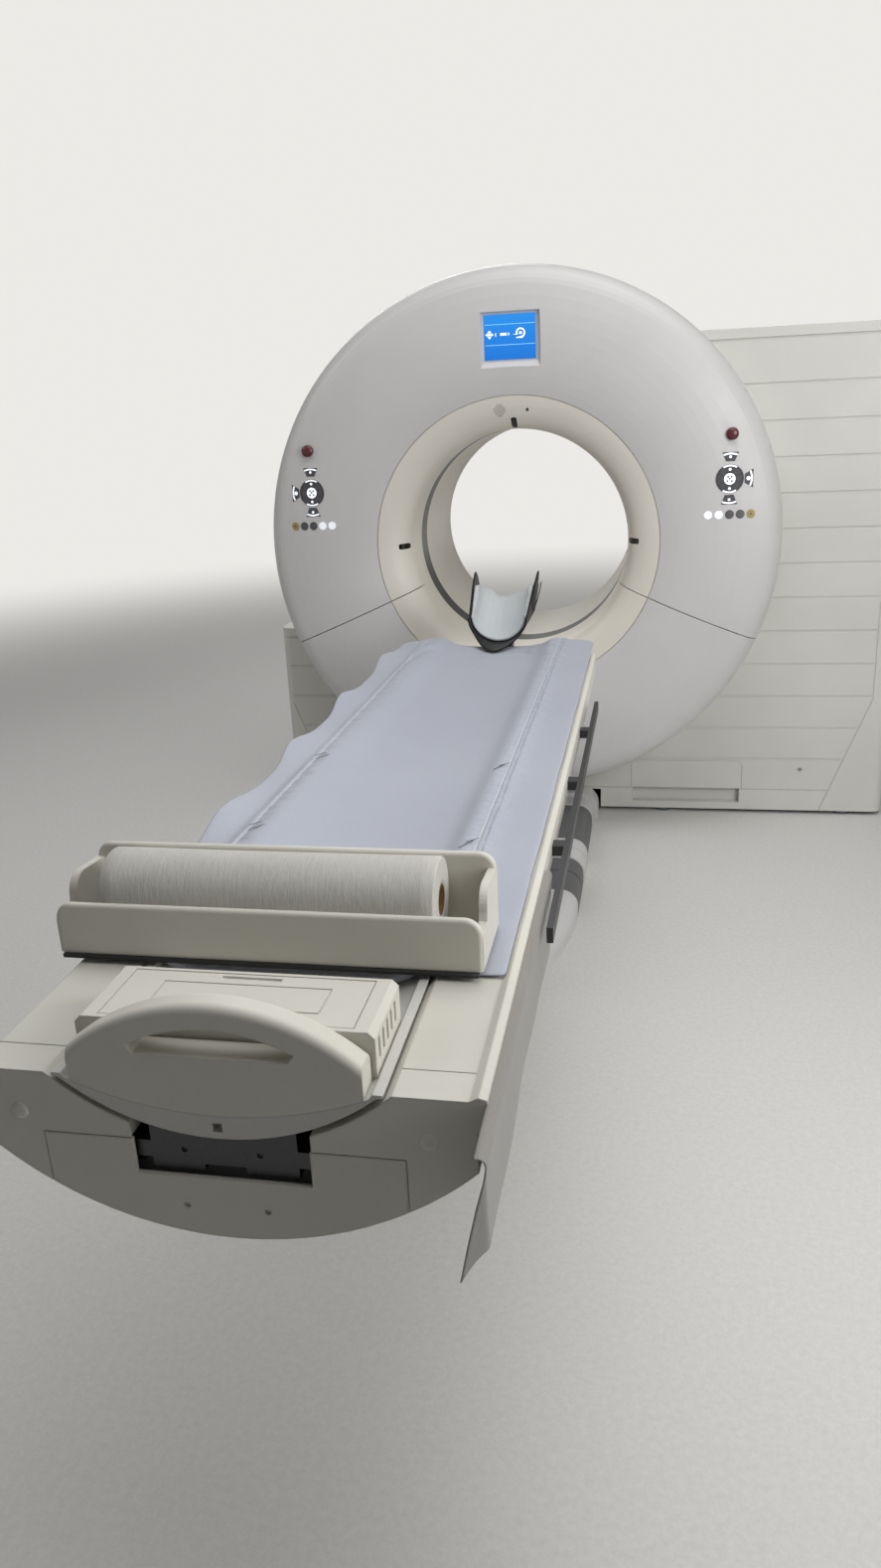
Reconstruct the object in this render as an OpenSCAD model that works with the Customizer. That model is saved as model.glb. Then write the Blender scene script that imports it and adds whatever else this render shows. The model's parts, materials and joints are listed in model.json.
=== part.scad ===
// CT scanner: a ring-shaped gantry with two X-ray tubes, and a patient table that lifts and slides in.
// The origin is on the floor under the scan plane's centre. +X is to the right, +Y runs into the bore.

/* [Gantry] */
// Height of the bore's axis above the floor
iso_h = 1096; // [1060:1:1130]
// Diameter of the patient tunnel
bore_d = 780; // [770:1:790]
// Depth from the front cover to the rear cover
gantry_depth = 946; // [930:1:980]
// Depth from the front cover to the scan plane
scan_depth = 340; // [330:1:345]
// Diameter of the round front cover
ring_d = 1830; // [1820:1:1850]
// Depth of the round front cover, down to its rear groove
cover_depth = 140; // [120:1:160]
// Depth from the front cover to the body's front panels
body_setback = 317; // [300:1:322]
// Depth of the body from its front panels to its rear panels
body_depth = 460; // [450:1:480]
// Width of the body left of the axis
body_left_w = 1000; // [980:1:1100]
// Width of the body right of the axis
body_right_w = 1360; // [1300:1:1400]
// Height of the right body's shoulder
shoulder_h = 1780; // [1750:1:1800]
// Height of the left body's shoulder
left_h = 752; // [740:1:760]
// Wall of the moulded covers
wall = 5; // [4:0.5:6]
// Open seam between two covers
seam = 3; // [2:0.5:4]
// Angle of the cover split below the horizontal
split_angle = 22.6; // [20:0.1:26]

/* [Funnel and tunnel] */
// Diameter of the groove between front cover and funnel
funnel_d = 1000; // [990:1:1010]
// Setback of the funnel's outer edge behind the front cover
funnel_set = 30; // [26:1:32]
// Depth from the front cover to the funnel's inner end
funnel_depth = 150; // [145:1:155]
// Width of the scan window
window_w = 100; // [90:1:110]
// Thickness of the scan window
window_t = 2; // [1.5:0.5:3]

/* [Body panels] */
// Spacing of the horizontal grooves
groove_pitch = 124.7; // [120:0.1:126]
// Height of the skirt line, where the grooves start
skirt_h = 98; // [95:1:102]
// Height of one groove
groove_h = 9; // [6:1:12]
// Depth of the grooves
groove_t = 2.5; // [1.5:0.5:3]
// Height of the cap strip on the shoulders
cap_h = 33; // [28:1:40]
// Gap between the panels and the floor
floor_gap = 14; // [13:1:20]
// Radius of the body's upright corners
corner_r = 40; // [20:1:60]

/* [Service panel] */
// Left edge of the service panel
panel_x = 407; // [400:1:415]
// Width of the service panel
panel_w = 424; // [400:1:440]
// Height of the service panel
panel_h = 112; // [100:1:120]
// Depth of the grip recess below it
grip_depth = 30; // [20:1:40]

/* [Controls] */
// Half the spacing of the two stop buttons
stop_x = 730; // [725:1:735]
// Height of the stop buttons above the bore's axis
stop_z = 348; // [342:1:354]
// Diameter of the stop buttons
stop_d = 39; // [34:1:42]
// Travel of the stop buttons
stop_travel = 5; // [3:0.5:6]
// Half the spacing of the two round keypads
pad_x = 726; // [720:1:732]
// Height of the round keypads above the bore's axis
pad_z = 204; // [200:1:208]
// Diameter of the round keypads
pad_d = 92; // [86:1:96]
// Height of the rows of small keys above the bore's axis
key_z = 88; // [84:1:94]
// Place of the innermost small key
key_x = 659; // [655:1:662]
// Spacing of the small keys
key_pitch = 35; // [34:1:36]
// Diameter of the small keys
key_d = 28; // [24:1:30]
// Travel of the small keys
key_travel = 2; // [1:0.5:3]
// Radial clearance of a stem in its guide
fit = 0.05; // [0.02:0.01:0.08]

/* [Display] */
// Width of the display's recess
display_w = 206; // [200:1:212]
// Height of the display's recess
display_h = 188; // [180:1:194]
// Height of the recess's middle above the bore's axis
display_z = 672; // [668:1:676]
// Width of the screen
screen_w = 173; // [160:1:180]
// Height of the screen
screen_h = 141; // [130:1:145]
// Depth from the front cover to the recess's floor
display_set = 24; // [20:1:26]

/* [Rotor] */
// Outer diameter of the rotor
rotor_d = 1680; // [1640:1:1700]
// Thickness of the rotor's carrier plate
rotor_t = 30; // [25:1:35]
// Radius from the axis to the focal spots
focus_r = 640; // [620:1:650]
// Radius of the detectors' inner faces
detector_r = 560; // [550:1:580]
// Radial gap of the direct drive
drive_gap = 4; // [2:0.5:6]
// Diameter of the main bearing's balls' path
bearing_d = 1100; // [1080:1:1110]

/* [Table] */
// Height of the table's cover tops at rest
table_h = 852; // [845:1:856]
// Length of the table from its foot to its head end
table_len = 2247; // [2200:1:2300]
// Distance from the scan plane to the table's foot
foot_y = 3247; // [3200:1:3300]
// Half the width across the side covers
table_half_w = 308; // [300:1:312]
// Width of the tabletop
top_w = 400; // [396:1:404]
// Length of the tabletop
top_len = 2457; // [2400:1:2480]
// Depth of the tabletop's upper curve
top_sag = 44; // [40:1:48]
// Depth of the tabletop's underside below its edges
top_depth = 75; // [70:1:80]
// Gap between the tabletop and the side covers
top_gap = 8; // [5:1:10]
// Running clearance between the tabletop and its slide pads
top_run = 0.4; // [0.3:0.1:1]
// Depth of the belly below the side corners
belly_sag = 124; // [110:1:130]
// Thickness of the mattress over the side covers
pad_t = 13; // [10:1:16]
// Half the width of the mattress
pad_half_w = 286; // [280:1:290]
// Largest lift above the rest height
lift_up = 70; // [40:1:80]
// Largest drop below the rest height
lift_down = 370; // [300:1:375]

/* [Table base] */
// Half the width of the floor base
base_half_w = 262; // [250:1:270]
// Height of the floor base
base_h = 88; // [80:1:100]
// Length of the floor base in front of the gantry
base_len = 1604; // [1560:1:1660]
// Length of the nose of the floor base
nose_len = 622; // [598:1:652]
// Distance from the scan plane to the lifting column
column_y = 1320; // [1300:1:1340]
// Width of the outer column
column_w = 280; // [260:1:300]
// Depth of the outer column
column_l = 380; // [340:1:400]
// Thickness of the steel plate under the floor base
base_plate_t = 12; // [10:1:16]
// Wall of the column's tubes
column_wall = 8; // [6:1:10]
// Sliding gap between the column's tubes
column_gap = 1; // [0.5:0.5:1.5]

/* [Table fittings] */
// Half the width of the foot handle
handle_half_w = 180; // [170:1:185]
// Height of the handle's arch above the table's covers
handle_rise = 100; // [90:1:110]
// Thickness of the handle
handle_t = 38; // [30:1:42]
// Length of the paper roll
roll_len = 480; // [440:1:500]
// Diameter of the paper roll
roll_d = 118; // [100:1:122]
// Width inside the head holder
head_w = 186; // [170:1:190]
// Length of the head holder
head_len = 290; // [260:1:300]
// Length of the hanging side flap
flap_len = 740; // [600:1:760]
// Drop of the hanging side flap
flap_drop = 150; // [120:1:160]

/* [Hidden] */
$fn = 96;

// Places along Y, from the front cover to the rear cover
front_y = -scan_depth;
rear_y = gantry_depth - scan_depth;
groove_y = front_y + cover_depth;
panel_y = front_y + body_setback;
body_rear_y = panel_y + body_depth;
tunnel_y = front_y + funnel_depth;

// Radii about the bore's axis
bore_r = bore_d / 2;
ring_r = ring_d / 2;
funnel_r = funnel_d / 2;
rotor_r = rotor_d / 2;
bearing_r = bearing_d / 2;
stand_r = ring_r - wall - 25;

// Heights of the controls and of the display's recess above the floor
stop_h = iso_h + stop_z;
pad_h = iso_h + pad_z;
key_h = iso_h + key_z;
recess_h = iso_h + display_z;

// The rotor's carrier plate and what stands behind it
plate_y = 60;
plate_rear_y = plate_y + rotor_t;
bearing_t = 60;
bearing_ring_t = 66;
stand_y = plate_rear_y + bearing_t + 6;
stand_t = 70;
slip_y = stand_y + stand_t + 60;
slip_t = 40;
hub_r = bore_r + 40;
hub_t = 35;

// The steel plinth in the gantry
foot_h = 20;
plinth_h = 95;
plinth_in = 70;

// The front cover's curve, as control points of radius and setback
face_ctrl = [[funnel_r + seam, funnel_set], [funnel_r + 90, 2], [ring_r - 195, -8], [ring_r - 65, 24]];
edge_ctrl = [[ring_r - 65, 24], [ring_r - 20, 36], [ring_r, 66], [ring_r, cover_depth - 20]];
funnel_ctrl = [[funnel_r, funnel_set], [funnel_r - 70, funnel_set + 12],
               [bore_r, funnel_set + 40], [bore_r, funnel_depth - 12]];

function bez(p, t) = pow(1 - t, 3) * p[0] + 3 * t * pow(1 - t, 2) * p[1]
    + 3 * t * t * (1 - t) * p[2] + pow(t, 3) * p[3];
function curve(p, n) = [for (i = [0 : n]) bez(p, i / n)];
function shift(points, d) = [for (q = points) q + d];
function reverse(list) = [for (i = [len(list) - 1 : -1 : 0]) list[i]];
function arc(c, r, a0, a1, n) = [for (i = [0 : n]) c + r * [cos(a0 + (a1 - a0) * i / n),
                                                           sin(a0 + (a1 - a0) * i / n)]];
// Radius of an arc with the given half chord and sagitta
function arc_r(half, sag) = (half * half + sag * sag) / (2 * sag);

// Turns a profile of radius and place along Y into a ring about the bore's axis
module revolve() translate([0, 0, iso_h]) rotate([-90, 0, 0]) rotate_extrude() children();
module on_axis(y = 0) translate([0, y, iso_h]) rotate([-90, 0, 0]) children();
module tube(r_out, r_in, y0, y1) {
    on_axis(y0) difference() {
        cylinder(r = r_out, h = y1 - y0);
        translate([0, 0, -1]) cylinder(r = r_in, h = y1 - y0 + 2);
    }
}
// Extrudes a drawing in the XZ plane from y0 to y1
module along_y(y0, y1) translate([0, y1, 0]) rotate([90, 0, 0]) linear_extrude(y1 - y0) children();
module along_x(x0, x1) translate([x0, 0, 0]) rotate([90, 0, 90]) linear_extrude(x1 - x0) children();
module box(low, high) translate(low) cube(high - low);
// A rod along Y
module rod(x, z, r, y0, y1) translate([x, y0, z]) rotate([-90, 0, 0]) cylinder(r = r, h = y1 - y0);
module round_rect(w, h, r) {
    square([w - 2 * r, h], center = true);
    square([w, h - 2 * r], center = true);
    for (x = [-1, 1], y = [-1, 1]) translate([x * (w / 2 - r), y * (h / 2 - r)]) circle(r);
}

// Front covers and funnel

// The closed form behind the front cover's outer face
module face_form(t) {
    face = shift(curve(face_ctrl, 10), [0, front_y + t]);
    edge = shift(curve(edge_ctrl, 8), [-t, front_y + t]);
    revolve() polygon(concat(
        [[funnel_r + seam, front_y + cover_depth]], face, [for (i = [1 : 8]) edge[i]],
        [[ring_r - t, front_y + cover_depth]]));
}
module cover_shell() {
    back_y = front_y + funnel_set + wall;
    difference() {
        face_form(0);
        difference() {
            face_form(wall);
            tube(funnel_r + seam + 25, funnel_r - 1, front_y, back_y);
        }
        tube(funnel_r + seam + 26, funnel_r, back_y, groove_y + 1);
        tube(ring_r - wall, ring_r - wall - 50, groove_y - 30, groove_y + 1);
    }
}
// The lower sector of the ring, bounded by the two cover splits
module lower_sector(gap) {
    far = 2 * ring_r;
    along_y(front_y - 50, rear_y + 50) translate([0, iso_h]) polygon([
        [0, -gap], [far * cos(split_angle), -far * sin(split_angle) - gap],
        [far * cos(split_angle), -far], [-far * cos(split_angle), -far],
        [-far * cos(split_angle), -far * sin(split_angle) - gap]]);
}
module control_holes() {
    for (s = [-1, 1]) {
        rod(s * stop_x, stop_h, stop_d / 2 + 0.5, front_y - 20, front_y + 60);
        rod(s * pad_x, pad_h, pad_d / 2 + 0.3, front_y - 20, front_y + 60);
        mirror([s < 0 ? 1 : 0, 0, 0]) along_y(front_y - 20, front_y + 60) wedge_keys(0.3);
        for (i = [0 : 4]) rod(s * (key_x + i * key_pitch), key_h, key_d / 2 + 0.5, front_y - 20, front_y + 60);
    }
}
screen_x = -2;
screen_z = recess_h + 13;
// The recess's edges at the cover's face and at its floor: half width, lower and upper edge
recess_face = [display_w / 2, recess_h - display_h / 2, recess_h + display_h / 2];
recess_floor = [screen_w / 2 + 8, screen_z - screen_h / 2 - 6, screen_z + screen_h / 2 + 5];
function recess_at(d) = recess_face + (recess_floor - recess_face) * d / display_set;
module display_pocket(t) {
    top_d = -30;
    low_d = display_set + t;
    a = recess_at(top_d);
    b = recess_at(low_d);
    intersection() {
        along_y(front_y + top_d, front_y + low_d) translate([0, recess_h])
            round_rect(display_w + 2 * t, display_h + 2 * t, 8 + t);
        along_x(-display_w, display_w) polygon([
            [front_y + top_d, a[1] - t], [front_y + low_d, b[1] - t],
            [front_y + low_d, b[2] + t], [front_y + top_d, a[2] + t]]);
        translate([0, 0, recess_h - display_h]) linear_extrude(2 * display_h) polygon([
            [-a[0] - t, front_y + top_d], [a[0] + t, front_y + top_d],
            [b[0] + t, front_y + low_d], [-b[0] - t, front_y + low_d]]);
    }
}
speaker_h = iso_h + (funnel_r + bore_r) / 2 + 9;
module speaker_holes() {
    for (i = [-3 : 3], j = [-3 : 3])
        if (i * i + j * j < 11)
            rod(-46 + 6 * i, speaker_h + 6 * j, 1.6, front_y, front_y + 80);
}
module front_cover_upper() {
    color([0.80, 0.80, 0.81]) difference() {
        union() {
            difference() {
                cover_shell();
                display_pocket(0);
            }
            intersection() {
                difference() {
                    display_pocket(4);
                    display_pocket(0);
                }
                face_form(0);
            }
        }
        lower_sector(-seam / 2);
        control_holes();
        along_y(front_y, front_y + 60) translate([screen_x, screen_z]) square([screen_w, screen_h], center = true);
    }
}
module front_cover_lower() {
    color([0.80, 0.80, 0.81]) intersection() {
        cover_shell();
        lower_sector(seam / 2);
    }
}
module funnel_shell() {
    outer = shift(curve(funnel_ctrl, 12), [0, front_y]);
    inner = shift(curve([for (q = funnel_ctrl) q + [wall, 0]], 12), [0, front_y + wall]);
    difference() {
        revolve() polygon(concat(
            [[funnel_r, front_y + funnel_set + wall]], outer, [[bore_r, tunnel_y], [bore_r + wall, tunnel_y]],
            reverse(inner)));
        laser_slots(0);
    }
    tube(funnel_r + 22, funnel_r - 8, front_y + funnel_set + wall, front_y + funnel_set + 2 * wall);
}
module funnel_upper() {
    color([0.80, 0.78, 0.73]) difference() {
        funnel_shell();
        lower_sector(-seam / 2);
        speaker_holes();
        rod(49, speaker_h - 1, 5, front_y, front_y + 80);
    }
}
module funnel_lower() {
    color([0.80, 0.78, 0.73]) intersection() {
        funnel_shell();
        lower_sector(seam / 2);
    }
}
// One laser window's slot, radial at the given angle
module laser_slot(angle, grow, y0, y1) {
    on_axis(y0) rotate([0, 0, -angle]) linear_extrude(y1 - y0)
        translate([bore_r + 22, 0]) round_rect(34 + 2 * grow, 20 + 2 * grow, 6 + grow);
}
laser_angles = [0, 90, 180];
module laser_slots(grow) {
    for (a = laser_angles) laser_slot(a, grow, front_y + 30, front_y + 130);
}
module laser_windows() {
    color([0.05, 0.05, 0.06]) for (a = laser_angles) difference() {
        laser_slot(a, 0, front_y + 56, front_y + 128);
        revolve() polygon(concat(
            [[bore_r - 20, front_y]], [[funnel_r, front_y]],
            shift(curve(funnel_ctrl, 12), [1, front_y + 1]), [[bore_r - 20, tunnel_y]]));
    }
}

// Tunnel

window_y0 = -window_w / 2 - 5;
window_y1 = window_y0 + window_w;
module tunnel_front() {
    color([0.82, 0.80, 0.75]) {
        tube(bore_r + wall, bore_r, tunnel_y, window_y0);
        tube(bore_r + 2 * wall, bore_r + wall, tunnel_y - 7, tunnel_y + 15);
        tube(bore_r + 2 * wall, bore_r + wall, window_y0 - 15, window_y0);
        tube(bore_r + 2 * wall, bore_r + window_t, window_y0, window_y0 + 12);
    }
}
module scan_window() {
    color([0.25, 0.25, 0.22]) tube(bore_r + window_t, bore_r, window_y0, window_y1);
}
module tunnel_rear() {
    color([0.82, 0.80, 0.75]) {
        tube(bore_r + wall, bore_r, window_y1, rear_y - 40);
        tube(bore_r + 2 * wall, bore_r + wall, window_y1, window_y1 + 15);
        tube(bore_r + 2 * wall, bore_r + window_t, window_y1 - 12, window_y1);
    }
}

// Rear cover, drum and body

rear_t = rear_y - body_rear_y;
rear_ctrl = [[ring_r, 0], [ring_r, 80], [ring_r - 60, rear_t], [ring_r - 150, rear_t]];
rear_in = [[ring_r - wall, 0], [ring_r - wall, 80], [ring_r - 60 - wall, rear_t - wall],
           [ring_r - 150 - wall, rear_t - wall]];
lip_ctrl = [[bore_r + 60, rear_t], [bore_r + 20, rear_t], [bore_r, rear_t - 15], [bore_r, rear_t - 40]];
lip_in = [[bore_r + 60, rear_t - wall], [bore_r + 20 + wall, rear_t - wall],
          [bore_r + wall, rear_t - 15 - wall], [bore_r + wall, rear_t - 40]];
module rear_cover() {
    outer = shift(concat(curve(rear_ctrl, 10), curve(lip_ctrl, 6)), [0, body_rear_y]);
    inner = shift(concat(curve(rear_in, 10), curve(lip_in, 6)), [0, body_rear_y]);
    color([0.80, 0.79, 0.76]) revolve() polygon(concat(outer, reverse(inner)));
}
module drum_shell() {
    color([0.83, 0.82, 0.76]) {
        tube(ring_r, ring_r - wall - 5, groove_y + 6, panel_y);
        tube(ring_r - wall, ring_r - wall - 5, groove_y - 12, groove_y + 6);
        difference() {
            tube(ring_r, ring_r - wall - 5, panel_y, body_rear_y);
            box([0, panel_y - 1, 0], [ring_r + 1, body_rear_y + 1, shoulder_h]);
            box([-ring_r - 1, panel_y - 1, 0], [1, body_rear_y + 1, left_h]);
        }
    }
}
// Plan of one half of the body, from the axis to its outer side
module body_plan(w, t) {
    depth = body_depth - 2 * t;
    r = corner_r - t;
    translate([0, panel_y + t]) {
        square([w - t - r, depth]);
        translate([0, r]) square([w - t, depth - 2 * r]);
        for (y = [r, depth - r]) translate([w - t - r, y]) circle(r);
    }
}
// Front outline of the grooved panel: it narrows to the floor along a slant
module panel_outline(w, h) {
    polygon([[-1, floor_gap - 5], [w - slant_w, floor_gap - 5], [w, slant_h],
             [w, h - cap_h], [-1, h - cap_h]]);
}
slant_h = 462;
slant_w = 170;
module panel_grooves(w, h) {
    rows = floor((h - cap_h - skirt_h - 60) / groove_pitch);
    intersection() {
        along_y(panel_y - 1, panel_y + groove_t) panel_outline(w, h);
        union() {
            for (i = [1 : rows])
                box([-1, panel_y - 1, skirt_h + i * groove_pitch - groove_h / 2],
                    [w, panel_y + groove_t, skirt_h + i * groove_pitch + groove_h / 2]);
            box([-1, panel_y - 1, skirt_h - 1.5], [w, panel_y + groove_t, skirt_h + 1.5]);
        }
    }
    box([-1, panel_y - 1, h - cap_h - 8], [w + 200, panel_y + 4, h - cap_h]);
    along_y(panel_y - 1, panel_y + groove_t) difference() {
        panel_outline(w, h);
        translate([-4, 0]) panel_outline(w, h);
        translate([-3, -20]) square([4, 3000]);
    }
}
module body_half(w, panel_w_x, h) {
    difference() {
        translate([0, 0, floor_gap]) linear_extrude(h - floor_gap) body_plan(w, 0);
        translate([0, 0, floor_gap - 1]) linear_extrude(h - wall - floor_gap + 1)
            translate([-1, 0]) body_plan(w + 1, wall);
        on_axis(panel_y - 1) cylinder(r = ring_r - wall, h = body_depth + 2);
        panel_grooves(panel_w_x, h);
        box([-1, panel_y - 1, 0], [base_half_w + 24, panel_y + wall + 1, base_h + 1]);
    }
}
module body_left() {
    color([0.77, 0.77, 0.74]) mirror([1, 0, 0]) body_half(body_left_w, body_left_w - 20, left_h);
}
panel_top = skirt_h + 4 + panel_h;
module panel_cut(grow) {
    r = 26;
    along_y(panel_y - 1, panel_y + wall + 1) {
        translate([panel_x - grow, skirt_h + 2 - grow]) square([panel_w + 2 * grow, panel_h - r + grow]);
        translate([panel_x + r, panel_top - 60]) square([panel_w - 2 * r, 58 + grow]);
        for (x = [panel_x + r, panel_x + panel_w - r]) translate([x, panel_top - 2 - r]) circle(r + grow);
    }
}
lock_x = panel_x + 641;
lock_h = skirt_h + 84;
module body_right() {
    color([0.77, 0.77, 0.74]) {
        difference() {
            body_half(body_right_w, body_right_w - 65, shoulder_h);
            panel_cut(0.8);
            box([panel_x + 5, panel_y - 1, skirt_h - 56], [panel_x + panel_w - 7, panel_y + wall + 1, skirt_h + 3]);
            rod(lock_x, lock_h, 12, panel_y - 1, panel_y + wall + 1);
        }
        difference() {
            box([panel_x + 1, panel_y + wall, skirt_h - 60], [panel_x + panel_w - 3, panel_y + grip_depth + 4, skirt_h + 1]);
            box([panel_x + 5, panel_y - 1, skirt_h - 56], [panel_x + panel_w - 7, panel_y + grip_depth, skirt_h + 3]);
        }
        difference() {
            rod(lock_x, lock_h, 12, panel_y + 0.5, panel_y + wall + 12);
            rod(lock_x, lock_h, 8, panel_y - 1, panel_y + 4);
        }
        tube_z = skirt_h + 1;
        box([panel_x + 1, panel_y + wall, tube_z], [panel_x + panel_w - 3, panel_y + wall + 4, panel_top - 10]);
    }
}
module service_panel() {
    color([0.78, 0.78, 0.75]) intersection() {
        panel_cut(0);
        box([0, panel_y, 0], [body_right_w, panel_y + wall, shoulder_h]);
    }
}

// Display and controls

module display_screen() {
    floor_y = front_y + display_set + 4;
    color([0.10, 0.50, 0.90]) along_y(floor_y - 6, floor_y) translate([screen_x, screen_z])
        square([screen_w - 0.4, screen_h - 0.4], center = true);
    color([0.2, 0.2, 0.2]) along_y(floor_y, floor_y + 4) translate([screen_x, screen_z])
        square([screen_w + 12, screen_h + 12], center = true);
}
// How far the keys and pads stand out of the cover, and the depth of the pads' grooves
key_rise = 1;
pad_rise = 1.5;
pad_groove = 1.5;
// Leaves of the children what lies behind the cover's face moved out by rise
module on_face(rise) intersection() {
    children();
    face_form(-rise);
}
// The three wedge-shaped keys about a keypad, moved out by t, as seen from the front with +X outwards
module wedge_keys(t) {
    translate([pad_x, pad_h]) {
        polygon([[-14 - t, 57 - t], [14 + t, 57 - t], [26.5 + t, 85 + t], [-26.5 - t, 85 + t]]);
        polygon([[-14 - t, -52 + t], [14 + t, -52 + t], [26.5 + t, -82 - t], [-26.5 - t, -82 - t]]);
        polygon([[49 - t, -14 - t], [49 - t, 14 + t], [76 + t, 30 + t], [76 + t, -30 - t]]);
    }
}
guide_y = front_y + 38;
guide_t = 10;
bracket_r = ring_r - 65;
module keypad_half() {
    difference() {
        union() {
            intersection() {
                along_y(guide_y, guide_y + guide_t) translate([pad_x, (stop_h + key_h) / 2])
                    round_rect(6.2 * key_pitch, stop_h - key_h + 70, 20);
                on_axis(guide_y) cylinder(r = bracket_r, h = guide_t);
            }
            on_face(pad_rise) rod(pad_x, pad_h, pad_d / 2, front_y - 20, guide_y + 1);
            on_face(key_rise) along_y(front_y - 20, guide_y + 1) wedge_keys(0);
            intersection() {
                for (x = [-85, 58], z = [pad_h - 62, pad_h + 66])
                    rod(pad_x + x, z, 8, front_y, guide_y + 1);
                face_form(wall);
            }
        }
        rod(stop_x, stop_h, 10 + fit, guide_y - 1, guide_y + guide_t + 1);
        for (i = [0 : 4]) rod(key_x + i * key_pitch, key_h, 6 + fit, guide_y - 1, guide_y + guide_t + 1);
        difference() {
            union() {
                pad_ring(pad_hub_r, 2);
                pad_ring(pad_d / 2 - 6, 1.6);
                for (a = [0 : 45 : 315]) translate([pad_x, 0, pad_h]) rotate([0, a + 22.5, 0])
                    box([pad_hub_r + 1, front_y - 20, -0.8], [pad_d / 2 - 7, guide_y - 2, 0.8]);
            }
            face_form(pad_groove - pad_rise);
        }
    }
}
pad_hub_r = 19;
// A round groove about a keypad's middle
module pad_ring(r, w) translate([0, 0, pad_h - iso_h]) translate([pad_x, 0, 0])
    tube(r + w, r, front_y - 20, guide_y - 2);
module keypads() {
    color([0.40, 0.40, 0.42]) {
        keypad_half();
        mirror([1, 0, 0]) keypad_half();
    }
}
module stop_button() {
    dome_r = arc_r(stop_d / 2, 6);
    translate([stop_x, front_y, stop_h]) rotate([-90, 0, 0]) rotate_extrude() polygon(concat(
        [[0, -7]], [for (i = [1 : 6]) let (x = stop_d / 2 * i / 6) [x, -7 + dome_r - sqrt(dome_r * dome_r - x * x)]],
        [[stop_d / 2, 28], [10, 28], [10, guide_y - front_y + guide_t + 6], [0, guide_y - front_y + guide_t + 6]]));
}
module stop_button_left() color([0.50, 0.12, 0.15]) mirror([1, 0, 0]) stop_button();
module stop_button_right() color([0.50, 0.12, 0.15]) stop_button();
module small_key(i, tint) {
    x = key_x + i * key_pitch;
    color(tint) {
        on_face(key_rise) rod(x, key_h, key_d / 2, front_y - 20, guide_y - key_travel - 1);
        rod(x, key_h, 6, guide_y - key_travel - 1, guide_y + guide_t + 3);
    }
}
lit_key = [0.93, 0.95, 0.98];
dark_key = [0.33, 0.33, 0.35];
gold_key = [0.62, 0.54, 0.28];
key_tints = [lit_key, lit_key, dark_key, dark_key, gold_key];

// Gantry frame

module gantry_base() {
    low_y = panel_y + wall;
    high_y = body_rear_y - wall;
    low_x = -body_left_w + plinth_in;
    high_x = body_right_w - plinth_in - 45;
    color([0.30, 0.31, 0.33]) difference() {
        union() {
            levelling_feet();
            box([low_x, low_y, foot_h], [high_x, high_y, foot_h + 12]);
            for (y = [low_y, high_y - 60]) box([low_x, y, foot_h], [high_x, y + 60, plinth_h]);
            for (x = [low_x, -560, 500, high_x - 60]) box([x, low_y, foot_h], [x + 60, high_y, plinth_h]);
            box([-240, floor_plate_y, 0], [240, 300, foot_h]);
        }
        for (x = [-anchor_x, anchor_x], y = [anchor_y - anchor_gap / 2, anchor_y + anchor_gap / 2])
            translate([x, y, -1]) cylinder(r = 9, h = 60);
        box([-base_half_w - 30, panel_y, foot_h], [base_half_w + 30, low_y + 61, plinth_h + 1]);
        box([panel_x - 4, panel_y, foot_h + 12], [panel_x + panel_w + 4, panel_y + grip_depth + 12, plinth_h + 1]);
    }
}
floor_plate_y = -80;
anchor_x = 190;
anchor_y = 170;
anchor_gap = 160;
module levelling_feet() {
    for (x = [-body_left_w + plinth_in + 30, -530, 530, body_right_w - plinth_in - 75],
        y = [panel_y + wall + 35, body_rear_y - wall - 35]) translate([x, y, 0]) {
        cylinder(r = 35, h = 12);
        cylinder(r = 10, h = foot_h + 1);
    }
}
module gantry_stand() {
    leg_x = sqrt(pow(stand_r - 10, 2) - pow(iso_h - left_h + 20, 2));
    color([0.42, 0.44, 0.47]) difference() {
        union() {
            on_axis(stand_y) cylinder(r = stand_r, h = stand_t);
            for (s = [-1, 1]) along_y(stand_y, stand_y + stand_t)
                polygon([[s * leg_x, left_h - 20], [s * 930, plinth_h], [s * 420, plinth_h], [s * 380, iso_h - 600]]);
            for (s = [-1, 1]) along_x(s * 650 - 15, s * 650 + 15)
                polygon([[stand_y + stand_t, plinth_h], [body_rear_y - wall - 10, plinth_h],
                         [stand_y + stand_t, iso_h - 250]]);
        }
        on_axis(stand_y - 1) cylinder(r = bearing_r + 12, h = stand_t + 2);
        for (a = [30 : 60 : 330]) on_axis(stand_y - 1) rotate([0, 0, a]) translate([765, 0, 0])
            cylinder(r = 70, h = stand_t + 2);
    }
}
module bearing_outer() {
    color([0.70, 0.71, 0.73]) difference() {
        tube(bearing_r + bearing_ring_t, bearing_r + 2, plate_rear_y + 6, stand_y);
        revolve() translate([bearing_r, (plate_rear_y + stand_y + 3) / 2]) circle(13);
    }
}
module bearing_inner() {
    mid_y = (plate_rear_y + stand_y + 3) / 2;
    color([0.72, 0.73, 0.75]) {
        difference() {
            tube(bearing_r - 2, bearing_r - bearing_ring_t, plate_rear_y, stand_y - 3);
            revolve() translate([bearing_r, mid_y]) circle(13);
        }
        tube(bearing_r + 0.5, bearing_r - 3, mid_y - 17, mid_y + 17);
        for (a = [0 : 15 : 345]) on_axis(mid_y) rotate([0, 0, a]) translate([bearing_r, 0, 0])
            sphere(r = 12, $fn = 24);
    }
}
stator_r = 690;
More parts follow.
